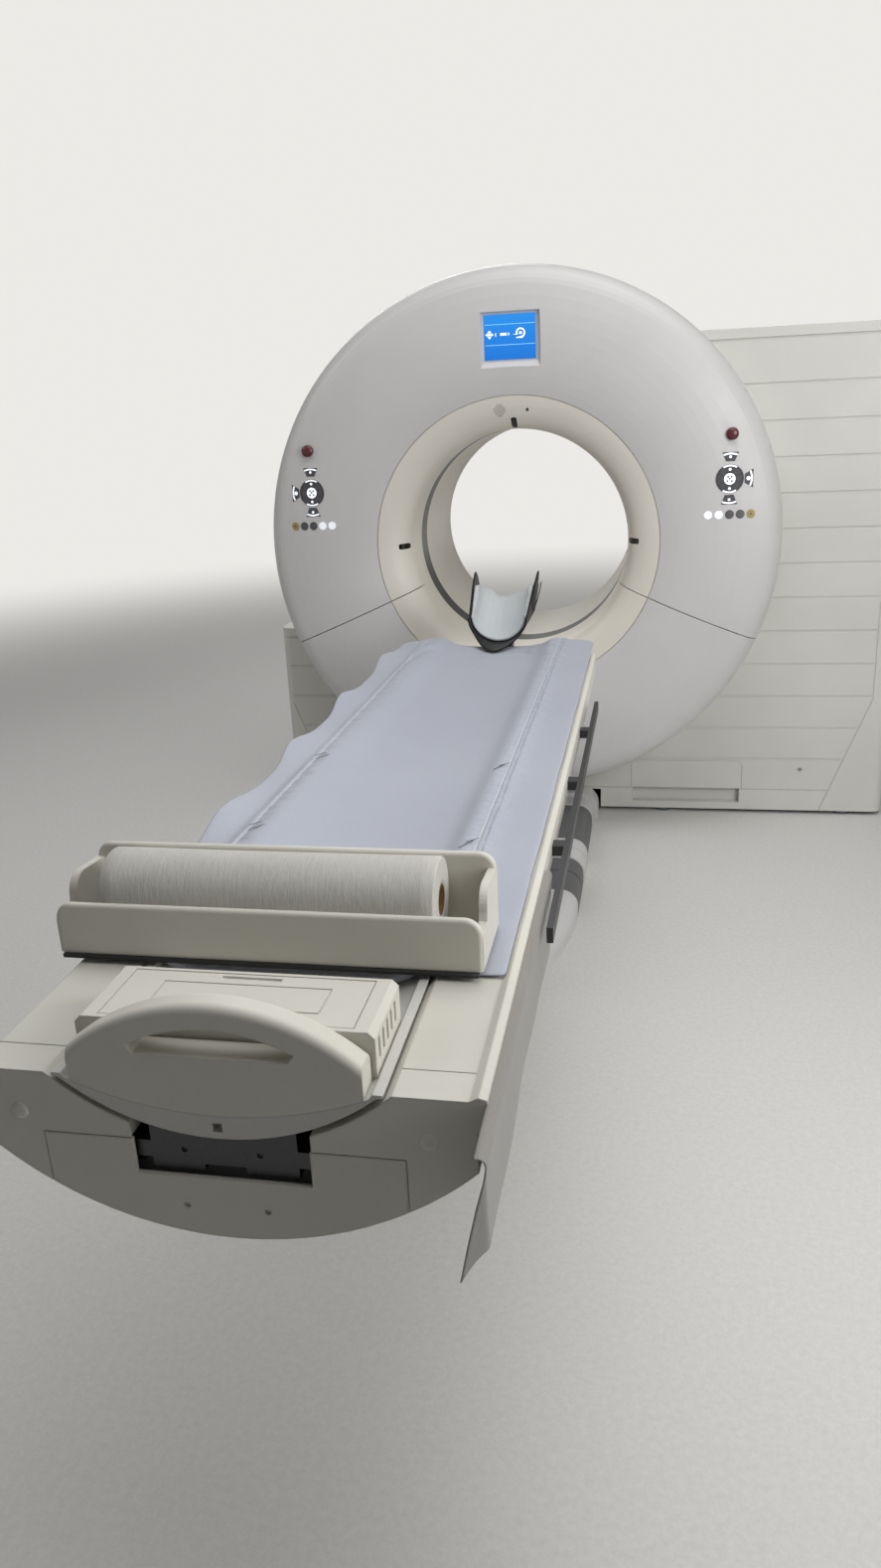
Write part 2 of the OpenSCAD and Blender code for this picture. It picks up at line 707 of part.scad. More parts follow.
module drive_stator() {
    color([0.60, 0.35, 0.18]) difference() {
        tube(stator_r, stator_r - 50, plate_rear_y + 8, stand_y);
        for (a = [0 : 10 : 350]) on_axis(plate_rear_y) rotate([0, 0, a]) translate([stator_r - 7, -9, 0])
            cube([20, 18, stand_y - plate_rear_y - 12]);
    }
}
module brush_block() {
    color([0.20, 0.20, 0.22]) {
        box([-70, stand_y + stand_t, iso_h + bearing_r + 20], [70, stand_y + stand_t + 20, iso_h + bearing_r + 110]);
        box([-55, stand_y + stand_t, iso_h + hub_r + 50], [55, stand_y + stand_t + 40, iso_h + bearing_r + 60]);
        for (z = [0 : 4]) box([-40, stand_y + stand_t + 40, iso_h + hub_r + 62 + 22 * z],
                              [40, slip_y - 0.5, iso_h + hub_r + 72 + 22 * z]);
    }
}

// Rotor

rib_angles = [22.5, 67.5, 112.5, 157.5, 202.5, 239, 301, 337.5];
module rotor_frame() {
    color([0.55, 0.57, 0.60]) {
        difference() {
            union() {
                tube(rotor_r, hub_r, plate_y, plate_rear_y);
                tube(rotor_r, rotor_r - 18, -150, plate_y + 1);
                tube(hub_r + hub_t, hub_r, plate_rear_y - 1, slip_y);
                for (a = rib_angles) on_axis(plate_y) rotate([0, 0, -a])
                    translate([hub_r + 40, -6, -120]) cube([rotor_r - hub_r - 50, 12, 121]);
            }
            for (a = [0 : 45 : 315]) on_axis(plate_y - 1) rotate([0, 0, a]) translate([760, 0, 0])
                cylinder(r = 38, h = rotor_t + 2);
        }
        difference() {
            tube(stator_r + drive_gap + 40, stator_r + drive_gap, plate_rear_y - 1, stand_y - 6);
            for (a = [0 : 15 : 345]) on_axis(plate_rear_y + 10) rotate([0, 0, a])
                translate([stator_r + drive_gap + 32, -4, 0]) cube([20, 8, 60]);
        }
    }
}
module slip_ring() {
    color([0.78, 0.60, 0.30]) difference() {
        tube(hub_r + 190, hub_r, slip_y, slip_y + slip_t);
        for (i = [0 : 4]) tube(hub_r + 62 + 22 * i, hub_r + 50 + 22 * i, slip_y - 1, slip_y + 4);
    }
}
tube_angles = [90, 0];
// Places a piece on the rotor at the given angle, with +X pointing outwards
module on_rotor(angle) on_axis(0) rotate([0, 0, -angle]) children();
module xray_tubes() {
    color([0.62, 0.63, 0.66]) for (a = tube_angles) on_rotor(a) difference() {
        union() {
            translate([focus_r, 0, -190]) cylinder(r = 105, h = 190 + plate_y);
            translate([focus_r, 0, -215]) cylinder(r = 70, h = 26);
            translate([focus_r - 20, -80, -60]) cube([150, 160, 60 + plate_y]);
            translate([0, 0, -45]) linear_extrude(90)
                polygon([[focus_r - 180, -110], [focus_r - 70, -60], [focus_r - 70, 60], [focus_r - 180, 110]]);
            for (x = [focus_r + 60, focus_r - 60]) translate([x, 118, -120]) rotate([90, 0, 0]) cylinder(r = 12, h = 60);
        }
        translate([0, 0, -20]) linear_extrude(40)
            polygon([[focus_r - 190, -90], [focus_r - 30, -12], [focus_r - 30, 12], [focus_r - 190, 90]]);
    }
}
detector_spans = [52, 34];
module detectors() {
    color([0.20, 0.30, 0.35]) for (k = [0, 1]) on_rotor(tube_angles[k] + 180) difference() {
        translate([0, 0, -70]) rotate([0, 0, -detector_spans[k] / 2])
            rotate_extrude(angle = detector_spans[k]) translate([detector_r, 0]) square([90, 70 + plate_y]);
        translate([0, 0, -40]) rotate([0, 0, -detector_spans[k] / 2 + 1])
            rotate_extrude(angle = detector_spans[k] - 2) translate([detector_r - 10, 0]) square([16, 80]);
        for (i = [-4 : 4]) rotate([0, 0, i * detector_spans[k] / 10])
            translate([detector_r + 60, -6, -80]) cube([50, 12, 40]);
    }
}
gen_r = 590;
gen_w = 190;
gen_t = 150;
module generators() {
    color([0.35, 0.38, 0.42]) for (a = [45, 135, 225, 315]) on_rotor(a) difference() {
        translate([gen_r, -gen_w / 2, -gen_t]) cube([gen_w, gen_w, gen_t + plate_y]);
        for (i = [-3 : 3]) translate([gen_r + 30, i * 24 - 4, -gen_t - 10]) cube([gen_w - 60, 8, 30]);
    }
}

// Table base and lifting column

module arch(half_w, h, r) {
    intersection() {
        translate([-half_w, 0]) square([2 * half_w, h]);
        union() {
            translate([-half_w, 0]) square([2 * half_w, h - r]);
            translate([-half_w + r, 0]) square([2 * (half_w - r), h]);
            for (s = [-1, 1]) translate([s * (half_w - r), h - r]) circle(r);
        }
    }
}
// A hoop over the floor base, g mm proud of the bands; the inside is the same for all
// Where the round cover hangs low, the floor base is hollowed to clear it
saddle_gap = 12;
module under_ring(t) {
    difference() {
        children();
        translate([0, iso_h]) circle(ring_r + saddle_gap + t);
    }
}
module arch_shell(y0, y1, g) {
    along_y(y0, y1) difference() {
        under_ring(0) arch(base_half_w + g, base_h + g, shoulder_r + g);
        under_ring(wall) translate([0, -1]) arch(base_half_w - 5, base_h - 4, shoulder_r - 5);
    }
}
base_y = panel_y - base_len;
nose_y = base_y + nose_len;
ring_one_y = panel_y - 197;
ring_two_y = nose_y + 434;
band_two_y = nose_y + 260;
shoulder_r = 55;
column_low = [-column_w / 2, -column_y - column_l / 2];
table_anchor_x = 190;
table_anchor_y = column_low[1] + column_l + 70;
table_anchor_gap = 160;
module table_base() {
    tail = [for (t = [0 : 0.1 : 1]) [sqrt(pow(side_r - 6, 2) - pow(t * tip_y, 2)) - side_c, nose_y - t * tip_y]];
    color([0.30, 0.31, 0.33]) difference() {
        union() {
            linear_extrude(base_plate_t) polygon(concat(
                tail, reverse([for (q = tail) [-q[0], q[1]]]), [[-base_half_w + 37, floor_plate_y],
                [base_half_w - 37, floor_plate_y]]));
            for (s = [-1, 1]) box([s * 190 - 15, nose_y, 0], [s * 190 + 15, floor_plate_y, 45]);
            box([-60, table_anchor_y - 30, 0], [60, table_anchor_y + 130, 70]);
            rod(0, 45, 28, table_anchor_y + 120, table_anchor_y + 300);
            box([-20, column_low[1] + column_l, 0], [20, table_anchor_y, 40]);
        }
        for (x = [-table_anchor_x, table_anchor_x], y = [0, table_anchor_gap])
            translate([x, table_anchor_y + y, -1]) cylinder(r = 9, h = 60);
    }
}
// A disc with a rounded upper rim, as the shapes that meet in the nose
module rim_disc(r, h, rim) {
    rotate_extrude() intersection() {
        square([r, h]);
        union() {
            square([r, h - rim]);
            square([r - rim, h]);
            translate([r - rim, h - rim]) circle(rim);
        }
    }
}
// The side arcs' centres and the tip's make triangles of 15, 8 and 17, so that the arcs run into each other
tip_y = (nose_len - base_half_w) * 4 / 3;
tip_r = nose_len - tip_y;
side_c = tip_y * 15 / 8;
side_r = side_c + base_half_w;
// The boat-shaped nose: two wide arcs that run into a tip arc, moved in by t
module nose(t) {
    rim = shoulder_r - t;
    far = 2 * side_c;
    translate([0, nose_y, -t]) {
        intersection() {
            translate([side_c, 0, 0]) rim_disc(side_r - t, base_h, rim);
            translate([-side_c, 0, 0]) rim_disc(side_r - t, base_h, rim);
            translate([0, 0, -1]) linear_extrude(base_h + 2) polygon([
                [-far, t > 0 ? 1 : 0], [far, t > 0 ? 1 : 0], [far, -3 * tip_y], [0, -tip_y], [-far, -3 * tip_y]]);
        }
        intersection() {
            translate([0, -tip_y, 0]) rim_disc(tip_r - t, base_h, rim);
            translate([0, 0, -1]) linear_extrude(base_h + 2)
                polygon([[0, -tip_y], [far, -3 * tip_y], [-far, -3 * tip_y]]);
        }
    }
}
module column_well(gap) {
    box([column_low[0] - gap, column_low[1] - gap, -5],
        [-column_low[0] + gap, column_low[1] + column_l + gap, table_h - 20]);
}
module base_covers() {
    color([0.84, 0.84, 0.82]) {
        difference() {
            nose(0);
            nose(4);
            column_well(2);
        }
        arch_shell(band_two_y + 95, ring_two_y, 4);
        arch_shell(band_two_y + 90, band_two_y + 95, 1);
        arch_shell(band_two_y, band_two_y + 90, 4);
        arch_shell(ring_one_y, ring_one_y + 90, 4);
        arch_shell(ring_one_y + 90, ring_one_y + 98, 1);
        arch_shell(ring_one_y + 98, panel_y, 16);
    }
}
module base_bands() {
    color([0.33, 0.33, 0.34]) {
        arch_shell(ring_two_y, ring_one_y, 0);
        difference() {
            arch_shell(nose_y, band_two_y, 0);
            difference() {
                box([-400, nose_y + 150, -1], [400, nose_y + 158, 200]);
                along_y(nose_y, band_two_y) translate([0, -1]) arch(base_half_w - 3, base_h - 2, shoulder_r - 3);
            }
            column_well(2);
        }
    }
}
// The three column tubes, at their rest places with the table at its rest height
head_z = table_h - 147;
column_top = head_z - lift_down - 5;
spindle_r = 25;
// One tube with its step inwards, from z0 to z1
module column_tube(step, z0, z1) {
    g = step * (column_wall + column_gap);
    difference() {
        box([column_low[0] + g, column_low[1] + g, z0],
            [-column_low[0] - g, column_low[1] + column_l - g, z1]);
        box([column_low[0] + g + column_wall, column_low[1] + g + column_wall, z0 - 1],
            [-column_low[0] - g - column_wall, column_low[1] + column_l - g - column_wall, z1 + 1]);
    }
}
// A glide ring round the tube's lower end, which runs in the next tube
module glide(step, z0) {
    g = step * (column_wall + column_gap);
    run = column_gap - fit;
    difference() {
        box([column_low[0] + g - run, column_low[1] + g - run, z0],
            [-column_low[0] - g + run, column_low[1] + column_l - g + run, z0 + 50]);
        box([column_low[0] + g + 1, column_low[1] + g + 1, z0 - 1],
            [-column_low[0] - g - 1, column_low[1] + column_l - g - 1, z0 + 51]);
    }
}
// A closing plate for that tube
module column_plate(step, z0, z1) {
    g = step * (column_wall + column_gap) + 1;
    box([column_low[0] + g, column_low[1] + g, z0], [-column_low[0] - g, column_low[1] + column_l - g, z1]);
}
// A sleeve of the telescoping spindle
module sleeve(step, z0, z1) {
    r = spindle_r + step * (column_wall - 2 + column_gap);
    translate([0, -column_y, z0]) difference() {
        cylinder(r = r, h = z1 - z0);
        translate([0, 0, -1]) cylinder(r = r - column_wall + 2, h = z1 - z0 + 2);
    }
}
module column_outer() {
    color([0.80, 0.80, 0.79]) {
        column_tube(0, base_plate_t, column_top);
        column_plate(0, base_plate_t, base_plate_t + 4);
        translate([0, -column_y, base_plate_t]) cylinder(r = spindle_r, h = column_top - base_plate_t - 10);
    }
}
module column_middle() {
    low = base_plate_t + 5 + lift_down / 2;
    high = column_top + lift_down / 2;
    color([0.72, 0.73, 0.74]) {
        column_tube(1, low, high);
        glide(1, low);
        difference() {
            column_plate(1, low, low + 4);
            translate([0, -column_y, low - 1]) cylinder(r = spindle_r + 3, h = 6);
        }
        sleeve(1, low, high - 10);
    }
}
module column_inner() {
    low = base_plate_t + 10 + lift_down;
    color([0.72, 0.73, 0.74]) {
        column_tube(2, low, head_z);
        glide(2, low);
        column_plate(2, head_z - 8, head_z);
        sleeve(2, low, head_z);
    }
}

// Table frame and covers

head_end_y = -foot_y + table_len;
belly_r = arc_r(table_half_w, belly_sag);
belly_z = table_h - 93 - belly_sag;
under_r = arc_r(top_w / 2, top_depth);
under_c = table_h - top_depth + under_r;
upper_r = arc_r(top_w / 2, top_sag);
upper_c = table_h - top_sag + upper_r;
split_x = 225;
split_z = table_h - 83;
recess_x = 110;
recess_z = table_h - 132;
keel_half = column_w / 2 + 10;
module under_disc(grow) translate([0, under_c]) circle(under_r + grow, $fn = 180);
module upper_disc(grow) translate([0, upper_c]) circle(upper_r + grow, $fn = 180);
module belly_disc(grow) translate([0, belly_z + belly_r]) circle(belly_r + grow, $fn = 180);
// Section of the right side cover, moved in by t
module side_area(t) {
    inner_x = recess_x + 2 + t;
    intersection() {
        difference() {
            polygon([[inner_x, split_z + t], [split_x + t, split_z + t], [split_x + t, belly_z],
                     [table_half_w - t, belly_z], [table_half_w - t, table_h - 7 - t / 2],
                     [table_half_w - 6 - t, table_h - t], [inner_x, table_h - t]]);
            under_disc(top_gap + t);
        }
        belly_disc(-t);
    }
}
module side_cover() {
    difference() {
        along_y(-foot_y, head_end_y) side_area(0);
        along_y(-foot_y + wall, head_end_y - wall) side_area(wall);
        box([recess_x + 12, -foot_y + 30, split_z - 1], [split_x - 50, head_end_y - 30, split_z + wall + 1]);
        rod(split_x + 27, table_h - 57, 7, -foot_y - 1, -foot_y + 1);
        box([recess_x, -foot_y + 55, table_h - 1], [table_half_w - 2, -foot_y + 56.5, table_h + 1]);
    }
}
module side_covers() {
    color([0.81, 0.80, 0.77]) {
        side_cover();
        mirror([1, 0, 0]) side_cover();
        along_y(-foot_y, head_end_y) polygon([
            [table_half_w - 10, table_h - 1], [table_half_w + 2, table_h + 6], [table_half_w + 12, table_h + 3],
            [table_half_w + 12, table_h - 44], [table_half_w - 1, table_h - 40]]);
    }
}
// Section of the belly cover between the side covers, moved in by t
module belly_area(t) {
    half = split_x - 1 - t;
    intersection() {
        difference() {
            polygon([[-half, belly_z], [half, belly_z], [half, split_z - 1.5 - t], [-half, split_z - 1.5 - t]]);
            translate([-recess_x - t, recess_z - t]) square([2 * (recess_x + t), 200]);
        }
        belly_disc(-t);
    }
}
module belly_cover() {
    open_z = belly_z + belly_r - sqrt(belly_r * belly_r - split_x * split_x) + 8;
    color([0.81, 0.80, 0.77]) difference() {
        along_y(-foot_y, head_end_y) belly_area(0);
        along_y(-foot_y + wall, head_end_y - wall) {
            belly_area(wall);
            translate([-split_x, open_z]) square([2 * split_x, 200]);
        }
        column_well(6);
        for (s = [-1, 1]) rod(s * 51, belly_z + 43, 4, -foot_y - 1, -foot_y + 3);
    }
}
frame_z = table_h - 184;
rail_w = 24;
rail_h = 16;
slide_x = 130;
channel_half = 185;
// The folded channel's section, moved in by t
module channel(t) {
    polygon([[-keel_half + t / 2, frame_z + t], [keel_half - t / 2, frame_z + t], [channel_half - t, frame_z + 34 + t / 2],
             [channel_half - t, split_z + t], [-channel_half + t, split_z + t],
             [-channel_half + t, frame_z + 34 + t / 2]]);
}
module table_frame() {
    y0 = -foot_y + 30;
    y1 = head_end_y - 30;
    well_x = column_w / 2 + 6;
    well_y = column_l / 2 + 6;
    color([0.62, 0.64, 0.66]) difference() {
        union() {
            along_y(y0, y1) difference() {
                channel(0);
                channel(8);
            }
            box([-180, y0, recess_z - 8], [180, y1, recess_z]);
            for (s = [-1, 1]) {
                box([s * 198 - 21, y0, split_z - 8], [s * 198 + 21, y1, split_z]);
                box([s * slide_x - rail_w / 2, y0, recess_z - 1], [s * slide_x + rail_w / 2, y1, recess_z + rail_h]);
                for (y = [y0, y1 - 8]) box([s * 75 - 75, y, frame_z], [s * 75 + 75, y + 8, recess_z]);
            }
            box([-keel_half, -column_y - well_y - 12, frame_z], [keel_half, -column_y + well_y + 12, recess_z - 1]);
            slide_pads();
            for (y = [y0 + 80, -column_y - well_y - 240, y1 - 70]) along_y(y, y + 30) intersection() {
                translate([-70, belly_z]) square([140, frame_z - belly_z + 1]);
                belly_disc(-wall);
            }
        }
        box([-well_x, -column_y - well_y, frame_z - 1], [well_x, -column_y + well_y, head_z]);
    }
}
// Two slide pads at the head end that carry the tabletop past the carriage's way
module slide_pads() {
    along_y(head_end_y - 110, head_end_y - 50) difference() {
        for (s = [-1, 1]) translate([s * 80 - 24, recess_z - 1]) square([48, 80]);
        under_disc(top_run);
    }
}
rail_x = 346;
rail_set = 457;
rail_len = 1300;
rail_brackets = [240, 610, 960];
rail_y0 = -foot_y + rail_set;
rail_y1 = rail_y0 + rail_len;
module accessory_rail() {
    color([0.42, 0.42, 0.43]) box([rail_x - 5, rail_y0, table_h - 37], [rail_x + 5, rail_y1, table_h - 12]);
    color([0.08, 0.08, 0.08]) for (d = rail_brackets)
        box([table_half_w + 12, rail_y1 - d - 15, table_h - 34], [rail_x - 5, rail_y1 - d + 15, table_h - 15]);
}
module travel_belt() {
    y0 = -foot_y + 40;
    y1 = head_end_y - 120;
    color([0.12, 0.12, 0.13]) {
        box([-14, y0, recess_z], [14, y1, recess_z + 3]);
        for (y = [y0, y1 - 30]) box([-22, y, recess_z], [22, y + 30, recess_z + 8]);
    }
}
module rod_x(x0, x1, y, z, r) translate([x0, y, z]) rotate([0, 90, 0]) cylinder(r = r, h = x1 - x0);
flap_x = table_half_w + 12;
flap_near = -foot_y - 93;
module side_flap() {
    top = table_h - 2;
    color([0.55, 0.53, 0.52]) along_y(flap_near, flap_near + flap_len) polygon([
        [flap_x, top], [flap_x + 13, top], [flap_x + 13, top - 12], [flap_x + 5, top - flap_drop],
        [flap_x + 2, top - flap_drop], [flap_x + 10, top - 12], [flap_x, top - 12]]);
}

// Tabletop and what rides on it

top_y0 = -foot_y;
top_y1 = -foot_y + top_len;
module tabletop() {
    half = top_w / 2;
    color([0.78, 0.79, 0.80]) difference() {
        union() {
            along_y(top_y0, top_y1) difference() {
                intersection() {
                    under_disc(0);
                    translate([-half - 1, table_h - 200]) square([2 * half + 2, 200]);
                }
                upper_disc(0);
            }
            for (s = [-1, 1]) along_y(top_y0, top_y1)
                polygon([[s * (half - 14), table_h - 6], [s * (half - 10), table_h], [s * (half + 2), table_h],
                         [s * (half + 2), table_h - 4]]);
        }
        box([-6, top_y0 - 1, table_h - 66], [6, top_y0 + 12, table_h - 54]);
        box([-tongue_half - 0.2, top_y1 - tongue_len - 2, head_floor],
            [tongue_half + 0.2, top_y1 + 1, head_floor + tongue_t + 0.3]);
    }
}
carriage_len = 300;
module carriage() {
    y0 = -foot_y + 10;
    y1 = y0 + carriage_len;
    foot_z = recess_z + 2;
    color([0.20, 0.21, 0.22]) difference() {
        union() {
            along_y(y0, y1) difference() {
                translate([-92, foot_z]) square([184, table_h - recess_z]);
                under_disc(0);
            }
            box([-slide_x - 22, y0, recess_z + rail_h], [slide_x + 22, y1, split_z - 10]);
            for (s = [-1, 1], x = [-1, 1], y = [y0 + 10, y1 - 90])
                box([s * slide_x + x * (rail_w / 2 + 5.3) - 5, y, foot_z],
                    [s * slide_x + x * (rail_w / 2 + 5.3) + 5, y + 80, recess_z + rail_h + 1]);
        }
        box([-26, y0 - 1, foot_z - 1], [26, y1 + 1, recess_z + 11]);
        for (x = [-50, 45]) rod(x, recess_z + 30, 4, y0 - 1, y0 + 3);
    }
}
module handle_outline() {
    w = handle_half_w;
    arch_r = arc_r(w, handle_rise - 33);
    intersection() {
        translate([-w, table_h - 60]) square([2 * w, 200]);
        upper_disc(0);
        translate([0, table_h + handle_rise - arch_r]) circle(arch_r, $fn = 180);
    }
}
module handle_slot() {
    half = 102;
    slot_r = arc_r(half, 26);
    polygon(concat([[-half, table_h + 44], [-half + 8, table_h + 33], [half - 8, table_h + 33], [half, table_h + 44]],
        [for (i = [1 : 11]) let (x = half - 2 * half * i / 12)
            [x, table_h + 70 - slot_r + sqrt(slot_r * slot_r - x * x)]]));
}
handle_rim = 11;
// The arch as a thick disc with rounded rims, about the arch's own axis
module handle_disc() {
    arch_r = arc_r(handle_half_w, handle_rise - 33);
    translate([0, top_y0, table_h + handle_rise - arch_r]) rotate([-90, 0, 0]) rotate_extrude() union() {
        square([arch_r - handle_rim, handle_t]);
        translate([0, handle_rim]) square([arch_r, handle_t - 2 * handle_rim]);
        for (y = [handle_rim, handle_t - handle_rim]) translate([arch_r - handle_rim, y]) circle(handle_rim);
    }
}
module foot_handle() {
    color([0.80, 0.79, 0.75]) difference() {
        intersection() {
            along_y(top_y0, top_y0 + handle_t) handle_outline();
            handle_disc();
        }
        along_y(top_y0 - 1, top_y0 + handle_t + 1) handle_slot();
    }
}
box_y0 = top_y0 + handle_t + 4;
box_y1 = box_y0 + 125;
box_top = table_h + 53;
lid_t = 6;
lid_gap = 1;
pin_r = 2;
pin_y = box_y0 + 11;
pin_z = box_top - lid_t / 2;
module foot_box() {
    color([0.81, 0.80, 0.76]) difference() {
        along_y(box_y0, box_y1) intersection() {
            polygon([[-186, table_h - 60], [186, table_h - 60], [186, box_top - 8], [178, box_top],
                     [-178, box_top], [-186, box_top - 8]]);
            upper_disc(0);
        }
        box([-150, box_y0 + 16, table_h - 24], [150, box_y1 - 14, box_top - lid_t + 1]);
        box([-160, box_y0 + 7, box_top - lid_t], [160, box_y1 - 6, box_top + 1]);
        rod_x(-166, 166, pin_y, pin_z, pin_r + fit);
        for (i = [0 : 4]) box([180, box_y0 + 14 + 20 * i, table_h + 10], [190, box_y0 + 22 + 20 * i, table_h + 38]);
    }
}
module box_lid() {
    far = box_y1 - 6 - lid_gap;
    color([0.83, 0.82, 0.78]) {
        difference() {
            box([-160 + lid_gap, pin_y, box_top - lid_t], [160 - lid_gap, far, box_top - 0.5]);
            box([-40, far - 14, box_top - 3], [40, far - 6, box_top]);
            box([-110, pin_y + 24, box_top - 1.5], [110, pin_y + 26, box_top]);
            box([-110, far - 26, box_top - 1.5], [110, far - 24, box_top]);
            for (s = [-1, 1]) box([s * 109 - 1, pin_y + 24, box_top - 1.5], [s * 109 + 1, far - 24, box_top]);
        }
        rod_x(-160 + lid_gap, 160 - lid_gap, pin_y, pin_z, lid_t / 2 - 0.2);
        rod_x(-165, 165, pin_y, pin_z, pin_r);
    }
}
// The mattress: flat wings over the side covers and a shallow trough over the tabletop
trough_half = 205;
trough_sag = 30;
trough_r = arc_r(trough_half, trough_sag);
module mattress() {
    trough_c = table_h + pad_t - trough_sag + trough_r;
    color([0.67, 0.70, 0.75]) along_y(pad_y0, top_y1) difference() {
        union() {
            translate([-pad_half_w, table_h + 1]) square([2 * pad_half_w, pad_t - 1]);
            intersection() {
                upper_disc(-0.4);
                translate([18 - top_w / 2, table_h - 60]) square([top_w - 36, 65]);
            }
        }
        translate([0, trough_c]) circle(trough_r, $fn = 180);
    }
}
holder_y0 = -foot_y + 267;
holder_y1 = holder_y0 + 150;
holder_x0 = -332;
holder_w = 609;
holder_x1 = holder_x0 + holder_w;
holder_t = 12;
pad_y0 = holder_y0 - 14;
roll_y = (holder_y0 + holder_y1) / 2 - 4;
roll_z = table_h + pad_t + 12 + roll_d / 2;
// Side cheek: low behind the front plate, then a round step up to the back plate
module holder_side() {
    low = table_h + pad_t;
    step_y = holder_y0 + 46;
    step_r = 30;
    polygon(concat(
        [[holder_y0 + 3, low], [holder_y1 - 3, low], [holder_y1 - 3, low + 90]],
        arc([step_y + step_r, low + 96 - step_r], step_r, 90, 180, 8),
        [[step_y - 3, low + 54], [step_y - 12, low + 50], [holder_y0 + 3, low + 50]]));
}
holder_r = 25;
// A plate across the table with round upper corners and a rounded rim
module holder_plate(y, h) {
    e = holder_t / 2;
    low = table_h + pad_t;
    mid = [(holder_x0 + holder_x1) / 2, low + h - holder_r];
    half = (holder_x1 - holder_x0) / 2;
    along_y(y, y + holder_t) {
        translate([holder_x0 + e, low]) square([2 * half - 2 * e, h - holder_r]);
        translate([holder_x0 + holder_r, low]) square([2 * (half - holder_r), h - e]);
        for (s = [-1, 1]) translate(mid + [s * (half - holder_r), 0]) circle(holder_r - e);
    }
    rod_x(holder_x0 + holder_r, holder_x1 - holder_r, y + e, low + h - e, e);
    for (s = [0, 1]) {
        translate([s ? holder_x1 - e : holder_x0 + e, y + e, low]) cylinder(r = e, h = h - holder_r);
        translate([mid[0] + (s ? 1 : -1) * (half - holder_r), y + e, mid[1]]) mirror([s ? 0 : 1, 0, 0])
            rotate([90, 0, 0]) rotate_extrude(angle = 90) translate([holder_r - e, 0]) circle(e);
    }
}
module roll_holder() {
    color([0.82, 0.81, 0.77]) {
        holder_plate(holder_y0, 76);
        holder_plate(holder_y1 - holder_t, 113);
        for (x = [holder_x0, holder_x1 - holder_t]) along_x(x, x + holder_t) holder_side();
        box([holder_x0 + 2, holder_y0 + 2, table_h + pad_t], [holder_x1 - 2, holder_y1 - 2, table_h + pad_t + 5]);
        for (x = [-250, 190]) difference() {
            box([x - 5, holder_y0 + 2, table_h + pad_t], [x + 5, holder_y1 - 2, table_h + pad_t + 40]);
            rod_x(x - 6, x + 6, roll_y, roll_z, roll_d / 2 + 0.3);
        }
    }
}
roll_x0 = -270;
module paper_roll() {
    color([0.80, 0.79, 0.76]) difference() {
        rod_x(roll_x0, roll_x0 + roll_len, roll_y, roll_z, roll_d / 2);
        rod_x(roll_x0 - 1, roll_x0 + roll_len + 1, roll_y, roll_z, 20);
    }
}
head_y0 = top_y1;
head_floor = table_h - 65;
tongue_half = 40;
tongue_len = 55;
tongue_t = 11;
head_t = 8;
head_pad_t = 10;
// The shell's cross-section: a half round floor with upright wings
module head_round(r) {
    translate([0, head_floor + head_w / 2 + head_t]) {
        circle(r);
        translate([-r, 0]) square([2 * r, 400]);
    }
}
// The wings' side view: low at the table, with a pointed peak at the far end
module head_side(y0, y1, low, peak) {
    polygon(concat(
        [[y0, head_floor - 1], [y1, head_floor - 1], [y1, head_floor + 70]],
        [for (i = [0 : 8]) bez([[y1 - 6, head_floor + peak - 100], [y1 - 20, head_floor + peak],
            [y1 - 45, head_floor + peak + 10], [y1 - 80, head_floor + peak - 60]], i / 8)],
        [for (i = [1 : 6]) bez([[y1 - 80, head_floor + peak - 60], [y1 - 120, head_floor + peak - 130],
            [y0 + 60, head_floor + low], [y0, head_floor + low]], i / 6)]));
}
module head_holder() {
    y1 = head_y0 + head_len;
    color([0.10, 0.10, 0.11]) {
        intersection() {
            along_y(head_y0, y1) difference() {
                head_round(head_w / 2 + head_t);
                head_round(head_w / 2);
            }
            along_x(-200, 200) head_side(head_y0, y1, 96, 267);
        }
        box([-tongue_half, top_y1 - tongue_len, head_floor], [tongue_half, head_y0 + 30, head_floor + tongue_t]);
    }
}
module head_pad() {
    y0 = head_y0 + 32;
    y1 = head_y0 + head_len;
    color([0.84, 0.86, 0.87]) intersection() {
        along_y(y0, y1) difference() {
            head_round(head_w / 2);
            head_round(head_w / 2 - head_pad_t);
        }
        along_x(-200, 200) head_side(y0, y1, 84, 200);
    }
}

gantry_base();
gantry_stand();
bearing_outer();
drive_stator();
brush_block();
front_cover_upper();
front_cover_lower();
funnel_upper();
funnel_lower();
tunnel_front();
scan_window();
tunnel_rear();
drum_shell();
rear_cover();
body_left();
body_right();
service_panel();
display_screen();
laser_windows();
keypads();
stop_button_left();
stop_button_right();
mirror([1, 0, 0]) small_key(0, key_tints[0]);  // key_left_1
mirror([1, 0, 0]) small_key(1, key_tints[1]);  // key_left_2
mirror([1, 0, 0]) small_key(2, key_tints[2]);  // key_left_3
mirror([1, 0, 0]) small_key(3, key_tints[3]);  // key_left_4
mirror([1, 0, 0]) small_key(4, key_tints[4]);  // key_left_5
small_key(0, key_tints[0]);  // key_right_1
small_key(1, key_tints[1]);  // key_right_2
small_key(2, key_tints[2]);  // key_right_3
small_key(3, key_tints[3]);  // key_right_4
small_key(4, key_tints[4]);  // key_right_5
rotor_frame();
bearing_inner();
slip_ring();
xray_tubes();
detectors();
generators();
table_base();
base_covers();
base_bands();
column_outer();
column_middle();
column_inner();
table_frame();
side_covers();
belly_cover();
accessory_rail();
travel_belt();
side_flap();
tabletop();
carriage();
foot_handle();
foot_box();
box_lid();
mattress();
roll_holder();
paper_roll();
head_holder();
